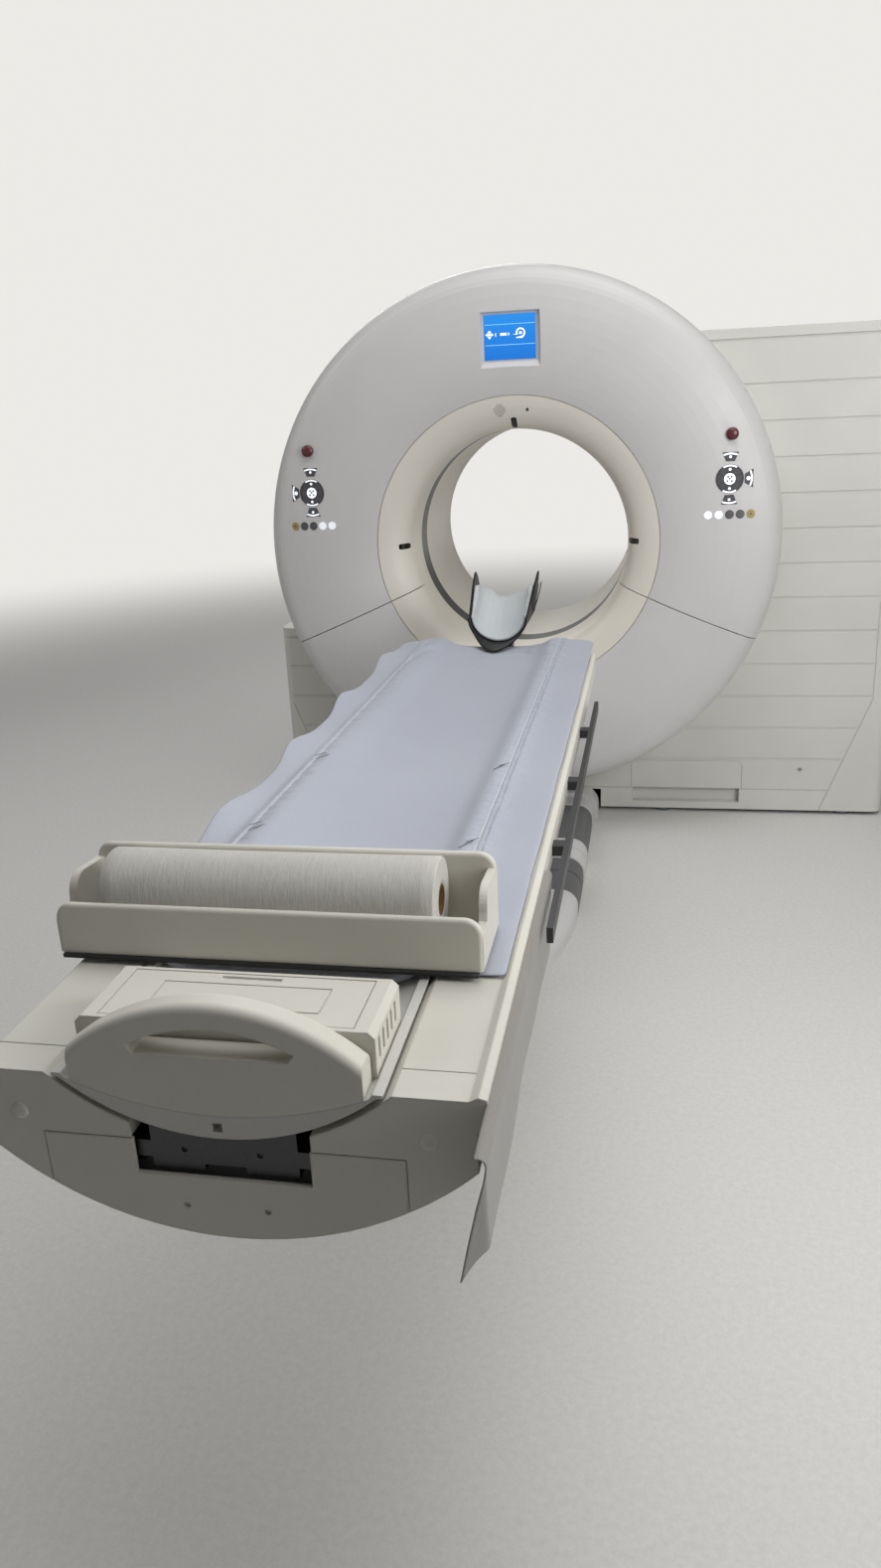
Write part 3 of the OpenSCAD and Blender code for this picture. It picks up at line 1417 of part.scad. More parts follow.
head_pad();
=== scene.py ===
# %% [markdown]
# # A CT scanner, dressed in Blender
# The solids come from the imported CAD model: every housing, bearing and button already has its real
# size and place. This lesson gives them their finishes, builds the soft and fine pieces that a solid
# model can't carry, and sets up the floor, the light and the camera.
#
# One unit in Blender is a metre. The origin lies on the floor beneath the centre of the scan plane,
# +X points right as seen from the table, +Y into the patient tunnel and +Z up.

# %% Load the frame
import json
import math

import bpy
from mathutils import Matrix, Vector, noise


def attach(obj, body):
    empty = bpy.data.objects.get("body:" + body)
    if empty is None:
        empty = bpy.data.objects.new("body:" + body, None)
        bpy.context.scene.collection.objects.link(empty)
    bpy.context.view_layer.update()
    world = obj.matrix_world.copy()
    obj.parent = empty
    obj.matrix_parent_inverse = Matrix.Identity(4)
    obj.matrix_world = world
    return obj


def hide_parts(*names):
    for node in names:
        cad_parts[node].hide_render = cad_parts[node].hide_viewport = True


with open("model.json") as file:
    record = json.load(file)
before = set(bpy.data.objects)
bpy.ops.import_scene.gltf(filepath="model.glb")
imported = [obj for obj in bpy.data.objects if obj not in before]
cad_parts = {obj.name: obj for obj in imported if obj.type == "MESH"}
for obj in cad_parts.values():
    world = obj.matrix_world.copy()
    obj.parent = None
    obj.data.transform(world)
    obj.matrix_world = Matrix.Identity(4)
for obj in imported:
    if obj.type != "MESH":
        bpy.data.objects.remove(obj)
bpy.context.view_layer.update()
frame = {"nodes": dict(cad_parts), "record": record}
nodes = frame["nodes"]


# %% [markdown]
# Sizes are written in millimetres, as a drawing of the machine would have them, and one short function
# turns them into metres.

# %% Millimetres to metres
def mm(*values):
    """Millimetres as metres: one number, or several as a vector."""
    if len(values) == 1:
        return values[0] / 1000
    return Vector([value / 1000 for value in values])


# %% [markdown]
# The camera stands beyond the foot end of the table, a little to its right, at the height of a raised
# phone. Its place and tilt were worked out from the straight edges and circles in the photograph. A
# camera could also be aimed with a tracking constraint, but its own matrix says the roll exactly. The
# lens is the focal length in the photograph's pixels, carried over to a sensor 36 mm long.

# %% Camera
LONG_SIDE = 36
PHOTO_FOCAL = 1114.5
PHOTO_HEIGHT = 1578
CAMERA_PLACE = (0.492, -4.265, 1.576)
camera_data = bpy.data.cameras.new("photo_camera")
camera_data.sensor_width = LONG_SIDE
camera_data.lens = PHOTO_FOCAL / PHOTO_HEIGHT * LONG_SIDE
camera = bpy.data.objects.new("photo_camera", camera_data)
bpy.context.scene.collection.objects.link(camera)
bpy.context.scene.camera = camera

yaw, pitch, roll = math.radians(11.49), math.radians(18.86), math.radians(-2.76)
level = Vector((-math.sin(yaw), math.cos(yaw), 0))
forward = level * math.cos(pitch) + Vector((0, 0, -math.sin(pitch)))
side = Vector((math.cos(yaw), math.sin(yaw), 0))
upward = side.cross(forward)
right = side * math.cos(roll) + upward * math.sin(roll)
top = upward * math.cos(roll) - side * math.sin(roll)
turn = Matrix((right, top, -forward)).transposed().to_4x4()
camera.matrix_world = Matrix.Translation(CAMERA_PLACE) @ turn
print("lens", round(camera_data.lens, 2), "mm")

# %% [markdown]
# Colours are written as on a screen, and one function turns them into the linear light that Blender works
# with. A shader could be wired by hand in the editor. Here one small function adds a node with its
# settings and links, so that a finish reads as a short list.

# %% Colours and the node helper
def linear(hex_colour):
    """An sRGB hex colour such as "c9c8ca" as linear red, green, blue and alpha."""
    parts = [int(hex_colour[i:i + 2], 16) / 255 for i in (0, 2, 4)]
    return [c / 12.92 if c <= 0.04045 else ((c + 0.055) / 1.055) ** 2.4 for c in parts] + [1]


def put(tree, kind, settings=None, **inputs):
    """Adds a node. Settings are its own attributes, inputs are values or another node's sockets.

    An input is given by its name, or by its number as in i0 where several share a name.
    """
    node = tree.nodes.new(kind)
    for name, value in (settings or {}).items():
        setattr(node, name, value)
    for name, value in inputs.items():
        key = int(name[1:]) if name[0] == "i" and name[1:].isdigit() else name.replace("_", " ")
        socket = node.inputs[key]
        if isinstance(value, bpy.types.NodeSocket):
            tree.links.new(value, socket)
        else:
            socket.default_value = value
    return node


# %% [markdown]
# A scanner room has flat panels of light in the ceiling. One wide area lamp above the whole machine, one
# from the right that faces the ring, a weak one on the left and one behind give the same soft shadows,
# and an even world fills them. The levels are kept plain, so that a colour shows about as it is written.
# The camera sees the world as a pale backdrop, and gloss and glass mirror it, but it lights nothing.

# %% World and lamps
BACKDROP = "eceae6"
WORLD_FILL, WORLD_GLOSS = 0.08, 0.35


def seen_rays(tree, gloss):
    """1 for rays from the camera or through glass, gloss for mirrored rays, 0 for those that light."""
    ray = put(tree, "ShaderNodeLightPath")
    mirrored = put(tree, "ShaderNodeMath", {"operation": "MULTIPLY"}, i0=ray.outputs["Is Glossy Ray"],
                   i1=gloss)
    direct = put(tree, "ShaderNodeMath", {"operation": "MAXIMUM"}, i0=ray.outputs["Is Camera Ray"],
                 i1=mirrored.outputs[0])
    every = put(tree, "ShaderNodeMath", {"operation": "MAXIMUM"}, i0=direct.outputs[0],
                i1=ray.outputs["Is Transmission Ray"])
    return every.outputs[0]


world = bpy.data.worlds.new("room")
bpy.context.scene.world = world
world.use_nodes = True
world.node_tree.nodes.clear()
tree = world.node_tree
fill = put(tree, "ShaderNodeBackground", Color=linear("f2f3f5"), Strength=WORLD_FILL)
backdrop = put(tree, "ShaderNodeBackground", Color=linear(BACKDROP), Strength=1.0)
either = put(tree, "ShaderNodeMixShader", Fac=seen_rays(tree, WORLD_GLOSS), i1=fill.outputs[0],
             i2=backdrop.outputs[0])
put(tree, "ShaderNodeOutputWorld", Surface=either.outputs[0])


def area_lamp(name, place, target, size, watts):
    """A square soft lamp at place that shines at target."""
    data = bpy.data.lights.new(name, "AREA")
    data.size = size
    data.energy = watts
    lamp = bpy.data.objects.new(name, data)
    lamp.location = place
    lamp.rotation_euler = (Vector(target) - Vector(place)).to_track_quat("-Z", "Y").to_euler()
    bpy.context.scene.collection.objects.link(lamp)


area_lamp("ceiling_panel", (0.6, -1.75, 4.2), (0.4, -1.6, 0.6), 3.4, 84)
area_lamp("ring_panel", (2.2, -3.0, 1.9), (0.1, -0.3, 0.9), 1.6, 50)
area_lamp("left_panel", (-3.4, -1.6, 3.2), (-3.0, -0.6, 0), 2.0, 26)
area_lamp("rear_panel", (-1.5, 3.6, 3.4), (0, 0.4, 0.9), 2.5, 62)
bpy.context.scene.view_settings.view_transform = "Standard"
print("lamps", [lamp.name for lamp in bpy.data.lights])


# %% [markdown]
# ## Finishes
# A finish starts from what the real surface is and how it was made. Every one reads the object's own
# coordinates, which are metres here, so that a pattern keeps its real size on a small and a large piece.
#
# Moulded and machined edges are never razor sharp. A Bevel modifier would have to cut into long CAD
# triangles, so the shader's Bevel node is used: it only turns the normals near an edge.

# %% Start of a finish
BEVEL_SAMPLES = 4


def new_finish(name):
    """A material with an empty tree, that tree, and the object's coordinates in metres."""
    material = bpy.data.materials.new(name)
    material.use_nodes = True
    tree = material.node_tree
    tree.nodes.clear()
    return material, tree, put(tree, "ShaderNodeTexCoord").outputs["Object"]


def surface(tree, height, depth, edge, **shader):
    """The finish's shader: relief of the given depth in metres, and edges rounded to edge metres."""
    if edge:
        rounded = put(tree, "ShaderNodeBevel", {"samples": BEVEL_SAMPLES}, Radius=edge).outputs[0]
        bump = put(tree, "ShaderNodeBump", Height=height, Distance=depth, Normal=rounded)
    else:
        bump = put(tree, "ShaderNodeBump", Height=height, Distance=depth)
    skin = put(tree, "ShaderNodeBsdfPrincipled", Normal=bump.outputs[0], **shader)
    put(tree, "ShaderNodeOutputMaterial", Surface=skin.outputs[0])


def between(tree, amount, low, high):
    """Colour from low to high, two hex colours, as amount goes from 0 to 1."""
    mix = put(tree, "ShaderNodeMix", {"data_type": "RGBA"}, i0=amount, i6=linear(low), i7=linear(high))
    return mix.outputs[2]


# %% [markdown]
# The gantry's covers are shells of rigid polyurethane foam with a sprayed two-pack paint: satin, with a
# faint orange peel, and a little duller where hands have been. The peel of the real paint is 1 to 3 mm
# across, which nobody sees from four metres, so it is drawn 9 mm wide and very shallow.

# %% Painted polyurethane foam
def painted_foam(name, colour, shade, edge=2.5):
    """Satin paint between two colours, over foam whose edges are rounded to edge millimetres."""
    material, tree, place = new_finish(name)
    peel = put(tree, "ShaderNodeTexNoise", Vector=place, Scale=1 / mm(9), Detail=1)
    drift = put(tree, "ShaderNodeTexNoise", Vector=place, Scale=1 / mm(420), Detail=3, Roughness=0.55)
    hands = put(tree, "ShaderNodeTexNoise", Vector=place, Scale=1 / mm(70), Detail=4, Distortion=0.8)
    tone = put(tree, "ShaderNodeMapRange", Value=drift.outputs[0], From_Min=0.35, From_Max=0.65)
    dull = put(tree, "ShaderNodeMapRange", Value=hands.outputs[0], From_Min=0.3, From_Max=0.7,
               To_Min=0.34, To_Max=0.46)
    surface(tree, peel.outputs[0], mm(0.05), mm(edge), Roughness=dull.outputs[0],
            Base_Color=between(tree, tone.outputs[0], colour, shade))
    return material


cover_paint = painted_foam("satin_paint_on_foam", "d2d0cf", "cdcbca")
body_paint = painted_foam("satin_paint_on_body", "d4d3cd", "cecdc7")
# The tunnel's paint is warmer than the covers', which is its own colour, and also lighter, which is painted
# light against the shade inside the tunnel.
funnel_paint = painted_foam("satin_paint_in_tunnel", "e3dfd4", "dfdacf")
print("gantry paints", cover_paint.name, body_paint.name, funnel_paint.name)

# %% [markdown]
# The table's covers are vacuum-formed ABS in a warm white, with the fine grain of their tool. The grain is
# a fraction of a millimetre, so it is drawn at 3 mm. People lean on the covers and push trolleys against
# them, so the edges carry rub marks. An edge is found by comparing the rounded normal with the true one:
# where they differ, an edge is near. A noise breaks the marks up.

# %% Grained ABS
RUBBED, RUB_REACH, RUB_STRENGTH = "77736a", 7, 0.35


def grained_abs(name, colour, shade, edge=4.0):
    """Grained plastic between two colours, with rub marks within RUB_REACH millimetres of an edge."""
    material, tree, place = new_finish(name)
    grain = put(tree, "ShaderNodeTexNoise", Vector=place, Scale=1 / mm(3), Detail=3, Roughness=0.7)
    drift = put(tree, "ShaderNodeTexNoise", Vector=place, Scale=1 / mm(260), Detail=4)
    tone = put(tree, "ShaderNodeMapRange", Value=drift.outputs[0], From_Min=0.35, From_Max=0.65)
    clean = between(tree, tone.outputs[0], colour, shade)
    rounded = put(tree, "ShaderNodeBevel", {"samples": BEVEL_SAMPLES}, Radius=mm(RUB_REACH)).outputs[0]
    true = put(tree, "ShaderNodeNewGeometry").outputs["Normal"]
    alike = put(tree, "ShaderNodeVectorMath", {"operation": "DOT_PRODUCT"}, i0=rounded, i1=true)
    near = put(tree, "ShaderNodeMapRange", Value=alike.outputs["Value"], From_Min=0.99, From_Max=0.75)
    rubs = put(tree, "ShaderNodeTexNoise", Vector=place, Scale=1 / mm(26), Detail=6, Roughness=0.75)
    broken = put(tree, "ShaderNodeMapRange", Value=rubs.outputs[0], From_Min=0.56, From_Max=0.7)
    worn = put(tree, "ShaderNodeMath", {"operation": "MULTIPLY"}, i0=near.outputs[0], i1=broken.outputs[0])
    faint = put(tree, "ShaderNodeMath", {"operation": "MULTIPLY"}, i0=worn.outputs[0], i1=RUB_STRENGTH)
    marked = put(tree, "ShaderNodeMix", {"data_type": "RGBA"}, i0=faint.outputs[0], i6=clean,
                 i7=linear(RUBBED))
    matt = put(tree, "ShaderNodeMapRange", Value=rubs.outputs[0], From_Min=0.3, From_Max=0.7,
               To_Min=0.42, To_Max=0.56)
    surface(tree, grain.outputs[0], mm(0.06), mm(edge), Roughness=matt.outputs[0],
            Base_Color=marked.outputs[2])
    return material


table_abs = grained_abs("grained_abs_cream", "d8d6cc", "d2d0c5")
fitting_abs = grained_abs("grained_abs_fittings", "dddad0", "d7d4c9", edge=2.5)
print("table plastics", table_abs.name, fitting_abs.name)

# %% [markdown]
# Three smooth fronts: the scan window is a thin film over the gap that the rays come through, the laser
# windows are tinted acrylic, and the screen is a glass front over a lit panel. The film could be made
# see-through, but behind it there is only shade, so its colour is painted shade: the dark tone of the
# shaded gap, painted darker still behind one line round the window, where the gap is deeper. The lit
# panel turns a little paler towards its top.

# %% Film, acrylic and glass
WINDOW_LINE = 36
SCREEN_LOW, SCREEN_HIGH = 1711, 1852
material, tree, place = new_finish("polyester_film")
along = put(tree, "ShaderNodeSeparateXYZ", Vector=place).outputs["Y"]
# The film's colour is painted shade: the dark of the shaded gap, darker still behind the line, where the gap
# is deeper.
painted_deeper_shade = put(tree, "ShaderNodeMath", {"operation": "GREATER_THAN"}, i0=along, i1=mm(WINDOW_LINE))
cloud = put(tree, "ShaderNodeTexNoise", Vector=place, Scale=1 / mm(60), Detail=3)
sheen = put(tree, "ShaderNodeMapRange", Value=cloud.outputs[0], To_Min=0.28, To_Max=0.4)
surface(tree, cloud.outputs[0], mm(0.1), 0, Roughness=sheen.outputs[0], IOR=1.58,
        Base_Color=between(tree, painted_deeper_shade.outputs[0], "2b2a25", "0d0c0b"), Specular_IOR_Level=0.2)
window_film = material

material, tree, place = new_finish("tinted_acrylic")
cloud = put(tree, "ShaderNodeTexNoise", Vector=place, Scale=1 / mm(15), Detail=2)
surface(tree, cloud.outputs[0], mm(0.02), mm(1), Roughness=0.06, IOR=1.49,
        Base_Color=between(tree, cloud.outputs[0], "08080a", "121214"))
tinted_acrylic = material

material, tree, place = new_finish("lit_display_glass")
height = put(tree, "ShaderNodeSeparateXYZ", Vector=place).outputs["Z"]
glow = put(tree, "ShaderNodeMapRange", Value=height, From_Min=mm(SCREEN_LOW),
           From_Max=mm(SCREEN_HIGH))
blue = between(tree, glow.outputs[0], "1680ea", "2a9cff")
cloud = put(tree, "ShaderNodeTexNoise", Vector=place, Scale=1 / mm(40))
surface(tree, cloud.outputs[0], mm(0.01), 0, Roughness=0.08, Base_Color=linear("0a1420"),
        Emission_Color=blue, Emission_Strength=0.85)
display_glass = material
print("smooth fronts", window_film.name, tinted_acrylic.name, display_glass.name)

# %% [markdown]
# The keypads are moulded silicone rubber, dark and dull. The small keys are caps of polycarbonate: two
# are lit from behind, two are dark, and the last is a dull gold. The stop buttons are polished ABS. The
# grit that a mould leaves is finer than the eye sees from four metres, so it is drawn at 2 to 4 mm.

# %% Rubber and key caps
def soft_rubber(name, colour, shade, roughness, grit):
    """Moulded rubber between two colours: dull, with the mould's grit of the given size in metres."""
    material, tree, place = new_finish(name)
    grains = put(tree, "ShaderNodeTexNoise", Vector=place, Scale=1 / grit, Detail=2)
    drift = put(tree, "ShaderNodeTexNoise", Vector=place, Scale=1 / mm(90), Detail=4)
    surface(tree, grains.outputs[0], mm(0.08), mm(1.2), Roughness=roughness,
            Base_Color=between(tree, drift.outputs[0], colour, shade))
    return material


def key_cap(name, colour, shade, glow):
    """A moulded plastic cap with a satin face, lit from behind with the given strength."""
    material, tree, place = new_finish(name)
    grains = put(tree, "ShaderNodeTexNoise", Vector=place, Scale=1 / mm(2), Detail=2)
    tint = between(tree, grains.outputs[0], colour, shade)
    surface(tree, grains.outputs[0], mm(0.03), mm(1.5), Roughness=0.3, IOR=1.58, Base_Color=tint,
            Emission_Color=tint, Emission_Strength=glow)
    return material


silicone = soft_rubber("silicone_keypad", "4a4a4e", "525256", 0.62, mm(2))
band_rubber = soft_rubber("pvc_band", "5c5c5d", "666667", 0.5, mm(3))
belt_rubber = soft_rubber("neoprene_belt", "1a1a1b", "232324", 0.7, mm(4))
lit_cap = key_cap("lit_polycarbonate", "e9eef5", "f4f7fb", 0.35)
dark_cap = key_cap("dark_polycarbonate", "45454a", "4f4f54", 0.0)
gold_cap = key_cap("gold_polycarbonate", "b59a44", "c2a852", 0.0)
stop_cap = key_cap("polished_abs_red", "52121a", "5c161f", 0.0)
print("rubbers and caps", silicone.name, band_rubber.name, lit_cap.name, stop_cap.name)

# %% [markdown]
# The parts inside are steel, copper and aluminium. Powder coat has a fine pebbled skin, drawn at 4 mm.
# Cut metal carries fine lines along the cut. A noise that is stretched along Y, the way the table's rails
# run, draws them. The turned rings inside share it, because no view shows them from near. The real lines
# are a few tenths of a millimetre apart, so they are drawn at 2 to 6 mm.

# %% Powder coat and metals
DRAWN_OUT, ROUGH_SPREAD = 0.04, 0.08


def powder_coat(name, colour, shade):
    """Baked powder between two colours, with a pebbled skin."""
    material, tree, place = new_finish(name)
    pebbles = put(tree, "ShaderNodeTexVoronoi", Vector=place, Scale=1 / mm(4))
    drift = put(tree, "ShaderNodeTexNoise", Vector=place, Scale=1 / mm(300), Detail=3)
    surface(tree, pebbles.outputs["Distance"], mm(0.08), mm(1.5), Roughness=0.5,
            Base_Color=between(tree, drift.outputs[0], colour, shade))
    return material


def cut_metal(name, colour, shade, roughness, pitch):
    """Metal with tool marks: fine lines at the given pitch across X and Z, drawn out along Y."""
    material, tree, place = new_finish(name)
    drawn = put(tree, "ShaderNodeVectorMath", {"operation": "MULTIPLY"}, i0=place,
                i1=(1, DRAWN_OUT, 1))
    marks = put(tree, "ShaderNodeTexNoise", Vector=drawn.outputs[0], Scale=1 / pitch, Detail=3)
    rough = put(tree, "ShaderNodeMapRange", Value=marks.outputs[0], To_Min=roughness - ROUGH_SPREAD,
                To_Max=roughness + ROUGH_SPREAD)
    surface(tree, marks.outputs[0], mm(0.03), mm(1), Metallic=1.0, Roughness=rough.outputs[0],
            Base_Color=between(tree, marks.outputs[0], colour, shade))
    return material


frame_coat = powder_coat("powder_coated_steel", "50545a", "595d63")
column_coat = powder_coat("powder_coated_column", "c9c9c8", "c2c2c1")
unit_coat = powder_coat("painted_steel_units", "6a7079", "747a83")
steel = cut_metal("ground_steel", "a6a8ab", "b4b6b9", 0.34, mm(3))
aluminium = cut_metal("cast_aluminium", "9a9c9f", "a9abae", 0.45, mm(6))
bronze = cut_metal("bronze_slip_ring", "b08a50", "c19a5e", 0.3, mm(2.2))
copper = cut_metal("enamelled_copper", "a5602f", "b87038", 0.35, mm(3))
dark_anodised = cut_metal("dark_anodised_aluminium", "4a4a4c", "565658", 0.42, mm(4))
print("metals", [m.name for m in (frame_coat, column_coat, unit_coat, steel, aluminium, bronze, copper)])

# %% [markdown]
# The tabletop is a carbon-fibre sandwich under a light grey gelcoat, through which its cloth shows as
# faint bands. The head holder keeps its fibres open to view beneath a matt clear coat: a twill of 3 mm
# tows, drawn at 6 mm as a checker of two blacks. It mirrors little, as the photograph shows it.

# %% Gelcoat and carbon fibre
material, tree, place = new_finish("grey_gelcoat")
print_through = put(tree, "ShaderNodeTexWave", {"bands_direction": "Y"}, Vector=place, Scale=1 / mm(60),
                    Distortion=2.0)
drift = put(tree, "ShaderNodeTexNoise", Vector=place, Scale=1 / mm(200), Detail=4)
surface(tree, print_through.outputs["Fac"], mm(0.03), mm(2), Roughness=0.33, Coat_Weight=0.2,
        Base_Color=between(tree, drift.outputs[0], "c9c8c3", "d1d0cb"))
gelcoat = material

material, tree, place = new_finish("carbon_fibre_clear_coat")
tows = put(tree, "ShaderNodeTexChecker", Vector=place, Scale=1 / mm(6), Color1=linear("060607"),
           Color2=linear("101012"))
surface(tree, tows.outputs["Fac"], mm(0.05), mm(2), Roughness=0.4, Base_Color=tows.outputs["Color"],
        Specular_IOR_Level=0.15)
carbon = material
print("composites", gelcoat.name, carbon.name)

# %% [markdown]
# Now each CAD piece gets its finish. The record groups the pieces by material slot, and a few pieces
# within a group are made of something else, so they are named one by one.

# %% Finishes on the CAD pieces
slot_finish = {
    "cover_white": cover_paint, "cover_warm": body_paint, "window_film": window_film,
    "dark_plastic": silicone, "screen_glass": display_glass, "stop_red": stop_cap,
    "key_white": lit_cap, "key_gold": gold_cap, "steel_paint": frame_coat, "steel_bare": steel,
    "copper_wound": copper, "detector_dark": dark_anodised, "carbon_top": gelcoat,
    "holder_black": carbon, "belt_rubber": belt_rubber,
}
own_finish = {
    "funnel_upper": funnel_paint, "funnel_lower": funnel_paint, "tunnel_front": funnel_paint,
    "tunnel_rear": funnel_paint, "side_covers": table_abs, "belly_cover": table_abs,
    "foot_handle": fitting_abs, "foot_box": fitting_abs, "box_lid": fitting_abs,
    "roll_holder": fitting_abs, "laser_windows": tinted_acrylic, "base_bands": band_rubber,
    "key_left_3": dark_cap, "key_left_4": dark_cap, "key_right_3": dark_cap, "key_right_4": dark_cap,
    "column_outer": column_coat, "column_middle": column_coat, "generators": unit_coat,
    "xray_tubes": aluminium, "slip_ring": bronze, "accessory_rail": dark_anodised,
    "rotor_frame": aluminium, "table_frame": column_coat,
}
for part in frame["record"]["subparts"]:
    finish = own_finish.get(part["node"]) or slot_finish.get(part["material_slot"], body_paint)
    slots = nodes[part["node"]].data.materials
    for index in range(len(slots)):
        slots[index] = finish
    if not slots:
        slots.append(finish)

# %% [markdown]
# ## Soft pieces
# A solid model can only hold the space of a mattress. The real one is foam in a polyurethane-coated
# cover: it is blue-grey and dull, with seams that pull in, puckers beside them, and loose wings over the
# side covers. Its weave is a third of a millimetre, so it is drawn at 4 mm. The head holder's brushed
# lining and the side flap's sheet are drawn the same way, without seams.

# %% Coated fabric, lining and sheet
SEAMS = [-230, 197, 209]
PUCKER_STEP, PUCKER_LENGTH, PUCKER_REACH = 15, 60, 16
FOLD_SHARE, PUCKER_SHARE = 2.2, 3


def coated_fabric(name, colour, shade, seams=()):
    """Coated cloth between two colours, with puckers beside the seams at these places along X."""
    material, tree, place = new_finish(name)
    weave = put(tree, "ShaderNodeTexNoise", Vector=place, Scale=1 / mm(4), Detail=2)
    folds = put(tree, "ShaderNodeTexNoise", Vector=place, Scale=1 / mm(110), Detail=4, Distortion=0.6)
    drift = put(tree, "ShaderNodeTexNoise", Vector=place, Scale=1 / mm(500), Detail=3)
    drawn = put(tree, "ShaderNodeVectorMath", {"operation": "MULTIPLY"}, i0=place,
                i1=(1 / mm(PUCKER_LENGTH), 1 / mm(PUCKER_STEP), 1 / mm(PUCKER_LENGTH)))
    pucker = put(tree, "ShaderNodeTexNoise", Vector=drawn.outputs[0], Scale=1, Detail=1)
    x = put(tree, "ShaderNodeSeparateXYZ", Vector=place).outputs["X"]
    height = put(tree, "ShaderNodeMath", {"operation": "MULTIPLY_ADD"}, i0=folds.outputs[0],
                 i1=FOLD_SHARE, i2=weave.outputs[0]).outputs[0]
    for seam in seams:
        beside = put(tree, "ShaderNodeMath", {"operation": "COMPARE"}, i0=x, i1=mm(seam),
                     i2=mm(PUCKER_REACH))
        near = put(tree, "ShaderNodeMath", {"operation": "MULTIPLY"}, i0=beside.outputs[0],
                   i1=pucker.outputs[0])
        height = put(tree, "ShaderNodeMath", {"operation": "MULTIPLY_ADD"}, i0=near.outputs[0],
                     i1=PUCKER_SHARE, i2=height).outputs[0]
    tone = put(tree, "ShaderNodeMapRange", Value=drift.outputs[0], From_Min=0.3, From_Max=0.7)
    surface(tree, height, mm(0.5), 0, Roughness=0.55, Sheen_Weight=0.25, Sheen_Roughness=0.4,
            Base_Color=between(tree, tone.outputs[0], colour, shade))
    return material


mattress_cloth = coated_fabric("polyurethane_coated_fabric", "b0b4c0", "a9adba", SEAMS)
# Paler than the cover's cloth: the tapes' colour is a painted highlight along the seams.
highlight_tape = coated_fabric("welded_tape_painted_highlight", "c8ccd6", "c2c6d1")
lining = coated_fabric("brushed_nylon_lining", "c8ccce", "c1c6c8")
flap_vinyl = coated_fabric("lead_vinyl_sheet", "8f8c87", "86837d")
print("cloths", mattress_cloth.name, lining.name, flap_vinyl.name)

# %% [markdown]
# A soft piece starts as a grid that is rolled into a closed skin, and Blender's Cloth then blows it up
# like a cushion: the skin has inside pressure, is a little too large, and is pinned along its seams and
# where it lies on something. A cap on how far a point may move keeps it in its place.

# %% Skins and stuffing
STUFFING_STEPS = 20


def mesh_piece(name, points, faces, material, body):
    """A mesh object of points in millimetres that rides on a body."""
    mesh = bpy.data.meshes.new(name)
    mesh.from_pydata([mm(*point) for point in points], [], faces)
    mesh.update()
    piece = bpy.data.objects.new(name, mesh)
    bpy.context.scene.collection.objects.link(piece)
    mesh.materials.append(material)
    for polygon in mesh.polygons:
        polygon.use_smooth = True
    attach(piece, body)
    return piece


def skin_faces(rows, loop):
    """Faces of a closed tube of rows loops, whose two halves mirror each other, with both ends shut."""
    faces = [(i * loop + j, i * loop + (j + 1) % loop, (i + 1) * loop + (j + 1) % loop, (i + 1) * loop + j)
             for i in range(rows - 1) for j in range(loop)]
    for i, step in ((0, -1), (rows - 1, 1)):
        for j in range(loop // 2 - 1):
            ring = (i * loop + j, i * loop + j + 1, i * loop + loop - 2 - j, i * loop + loop - 1 - j)
            faces.append(ring[::step])
    return faces


def stuff(piece, pinned, pressure, extra, cap):
    """Blows the piece up with Cloth. pinned are its fixed points, extra the share of spare cloth and
    cap the furthest that a point may move, in metres.
    """
    before = [v.co.copy() for v in piece.data.vertices]
    group = piece.vertex_groups.new(name="pins")
    group.add(pinned, 1.0, "REPLACE")
    cloth = piece.modifiers.new("stuffing", "CLOTH")
    cloth.settings.vertex_group_mass = "pins"
    cloth.settings.use_pressure = True
    cloth.settings.uniform_pressure_force = pressure
    cloth.settings.shrink_min = -extra
    cloth.settings.quality = 4
    cloth.settings.tension_stiffness = 25
    cloth.settings.bending_stiffness = 0.4
    cloth.settings.effector_weights.gravity = 0
    cloth.collision_settings.use_collision = False
    for step in range(STUFFING_STEPS):
        bpy.context.scene.frame_set(step + 1)
    blown = piece.evaluated_get(bpy.context.evaluated_depsgraph_get())
    after = [v.co.copy() for v in blown.data.vertices]
    piece.modifiers.remove(cloth)
    piece.vertex_groups.remove(group)
    moved = 0
    for vertex, old, new in zip(piece.data.vertices, before, after):
        way = new - old
        way.length = min(way.length, cap)
        vertex.co = old + way
        moved = max(moved, way.length)
    bpy.context.scene.frame_set(1)
    print(piece.name, "stuffed, furthest point", round(moved * 1000, 1), "mm")


def smooth_skin(piece):
    """One subdivision, so that folds and edges are round."""
    subdivision = piece.modifiers.new("smooth", "SUBSURF")
    subdivision.levels = 1
    subdivision.render_levels = 1


# %% [markdown]
# ### Mattress
# It lies in the tabletop's trough: a low middle between two bolsters, which rise to the seams. Outside
# the seams the cover goes on as thin wings without foam, over the side covers. The left wing stands up in
# long ripples. The rows follow each other along the table, 12 mm apart, and the columns are closer at the
# seams, which are pulled 3 mm down. The outline across is a formula and not a list of points, so that
# each height can be set by itself.

# %% Mattress
TOP_Z, MIDDLE_Z, WING_UNDER = 865, 837, 853.4
MIDDLE_HALF, MIDDLE_RISE = 135, 6
SLOPE_FROM, SLOPE_WIDTH = 132, 54
TROUGH_HALF, TROUGH_LOW, TROUGH_HIGH = 182, 809, 845
FOOT_END, HEAD_END, CORNER, CORNER_CUT = -2972, -792, 62, 58
WING, WING_REACH, WING_WAVE, WAVE_RISE = 298, 303, 11, 19
WAVE_FROM, WAVE_WIDTH = 232, 80
FOAM_SHARE, WING_SHARE = 0.79, 0.21
WING_DROP, SEAM_PULL, SEAM_HALF = 7.4, 3, 2
FOAM_EDGE = {-1: 233, 1: 212}


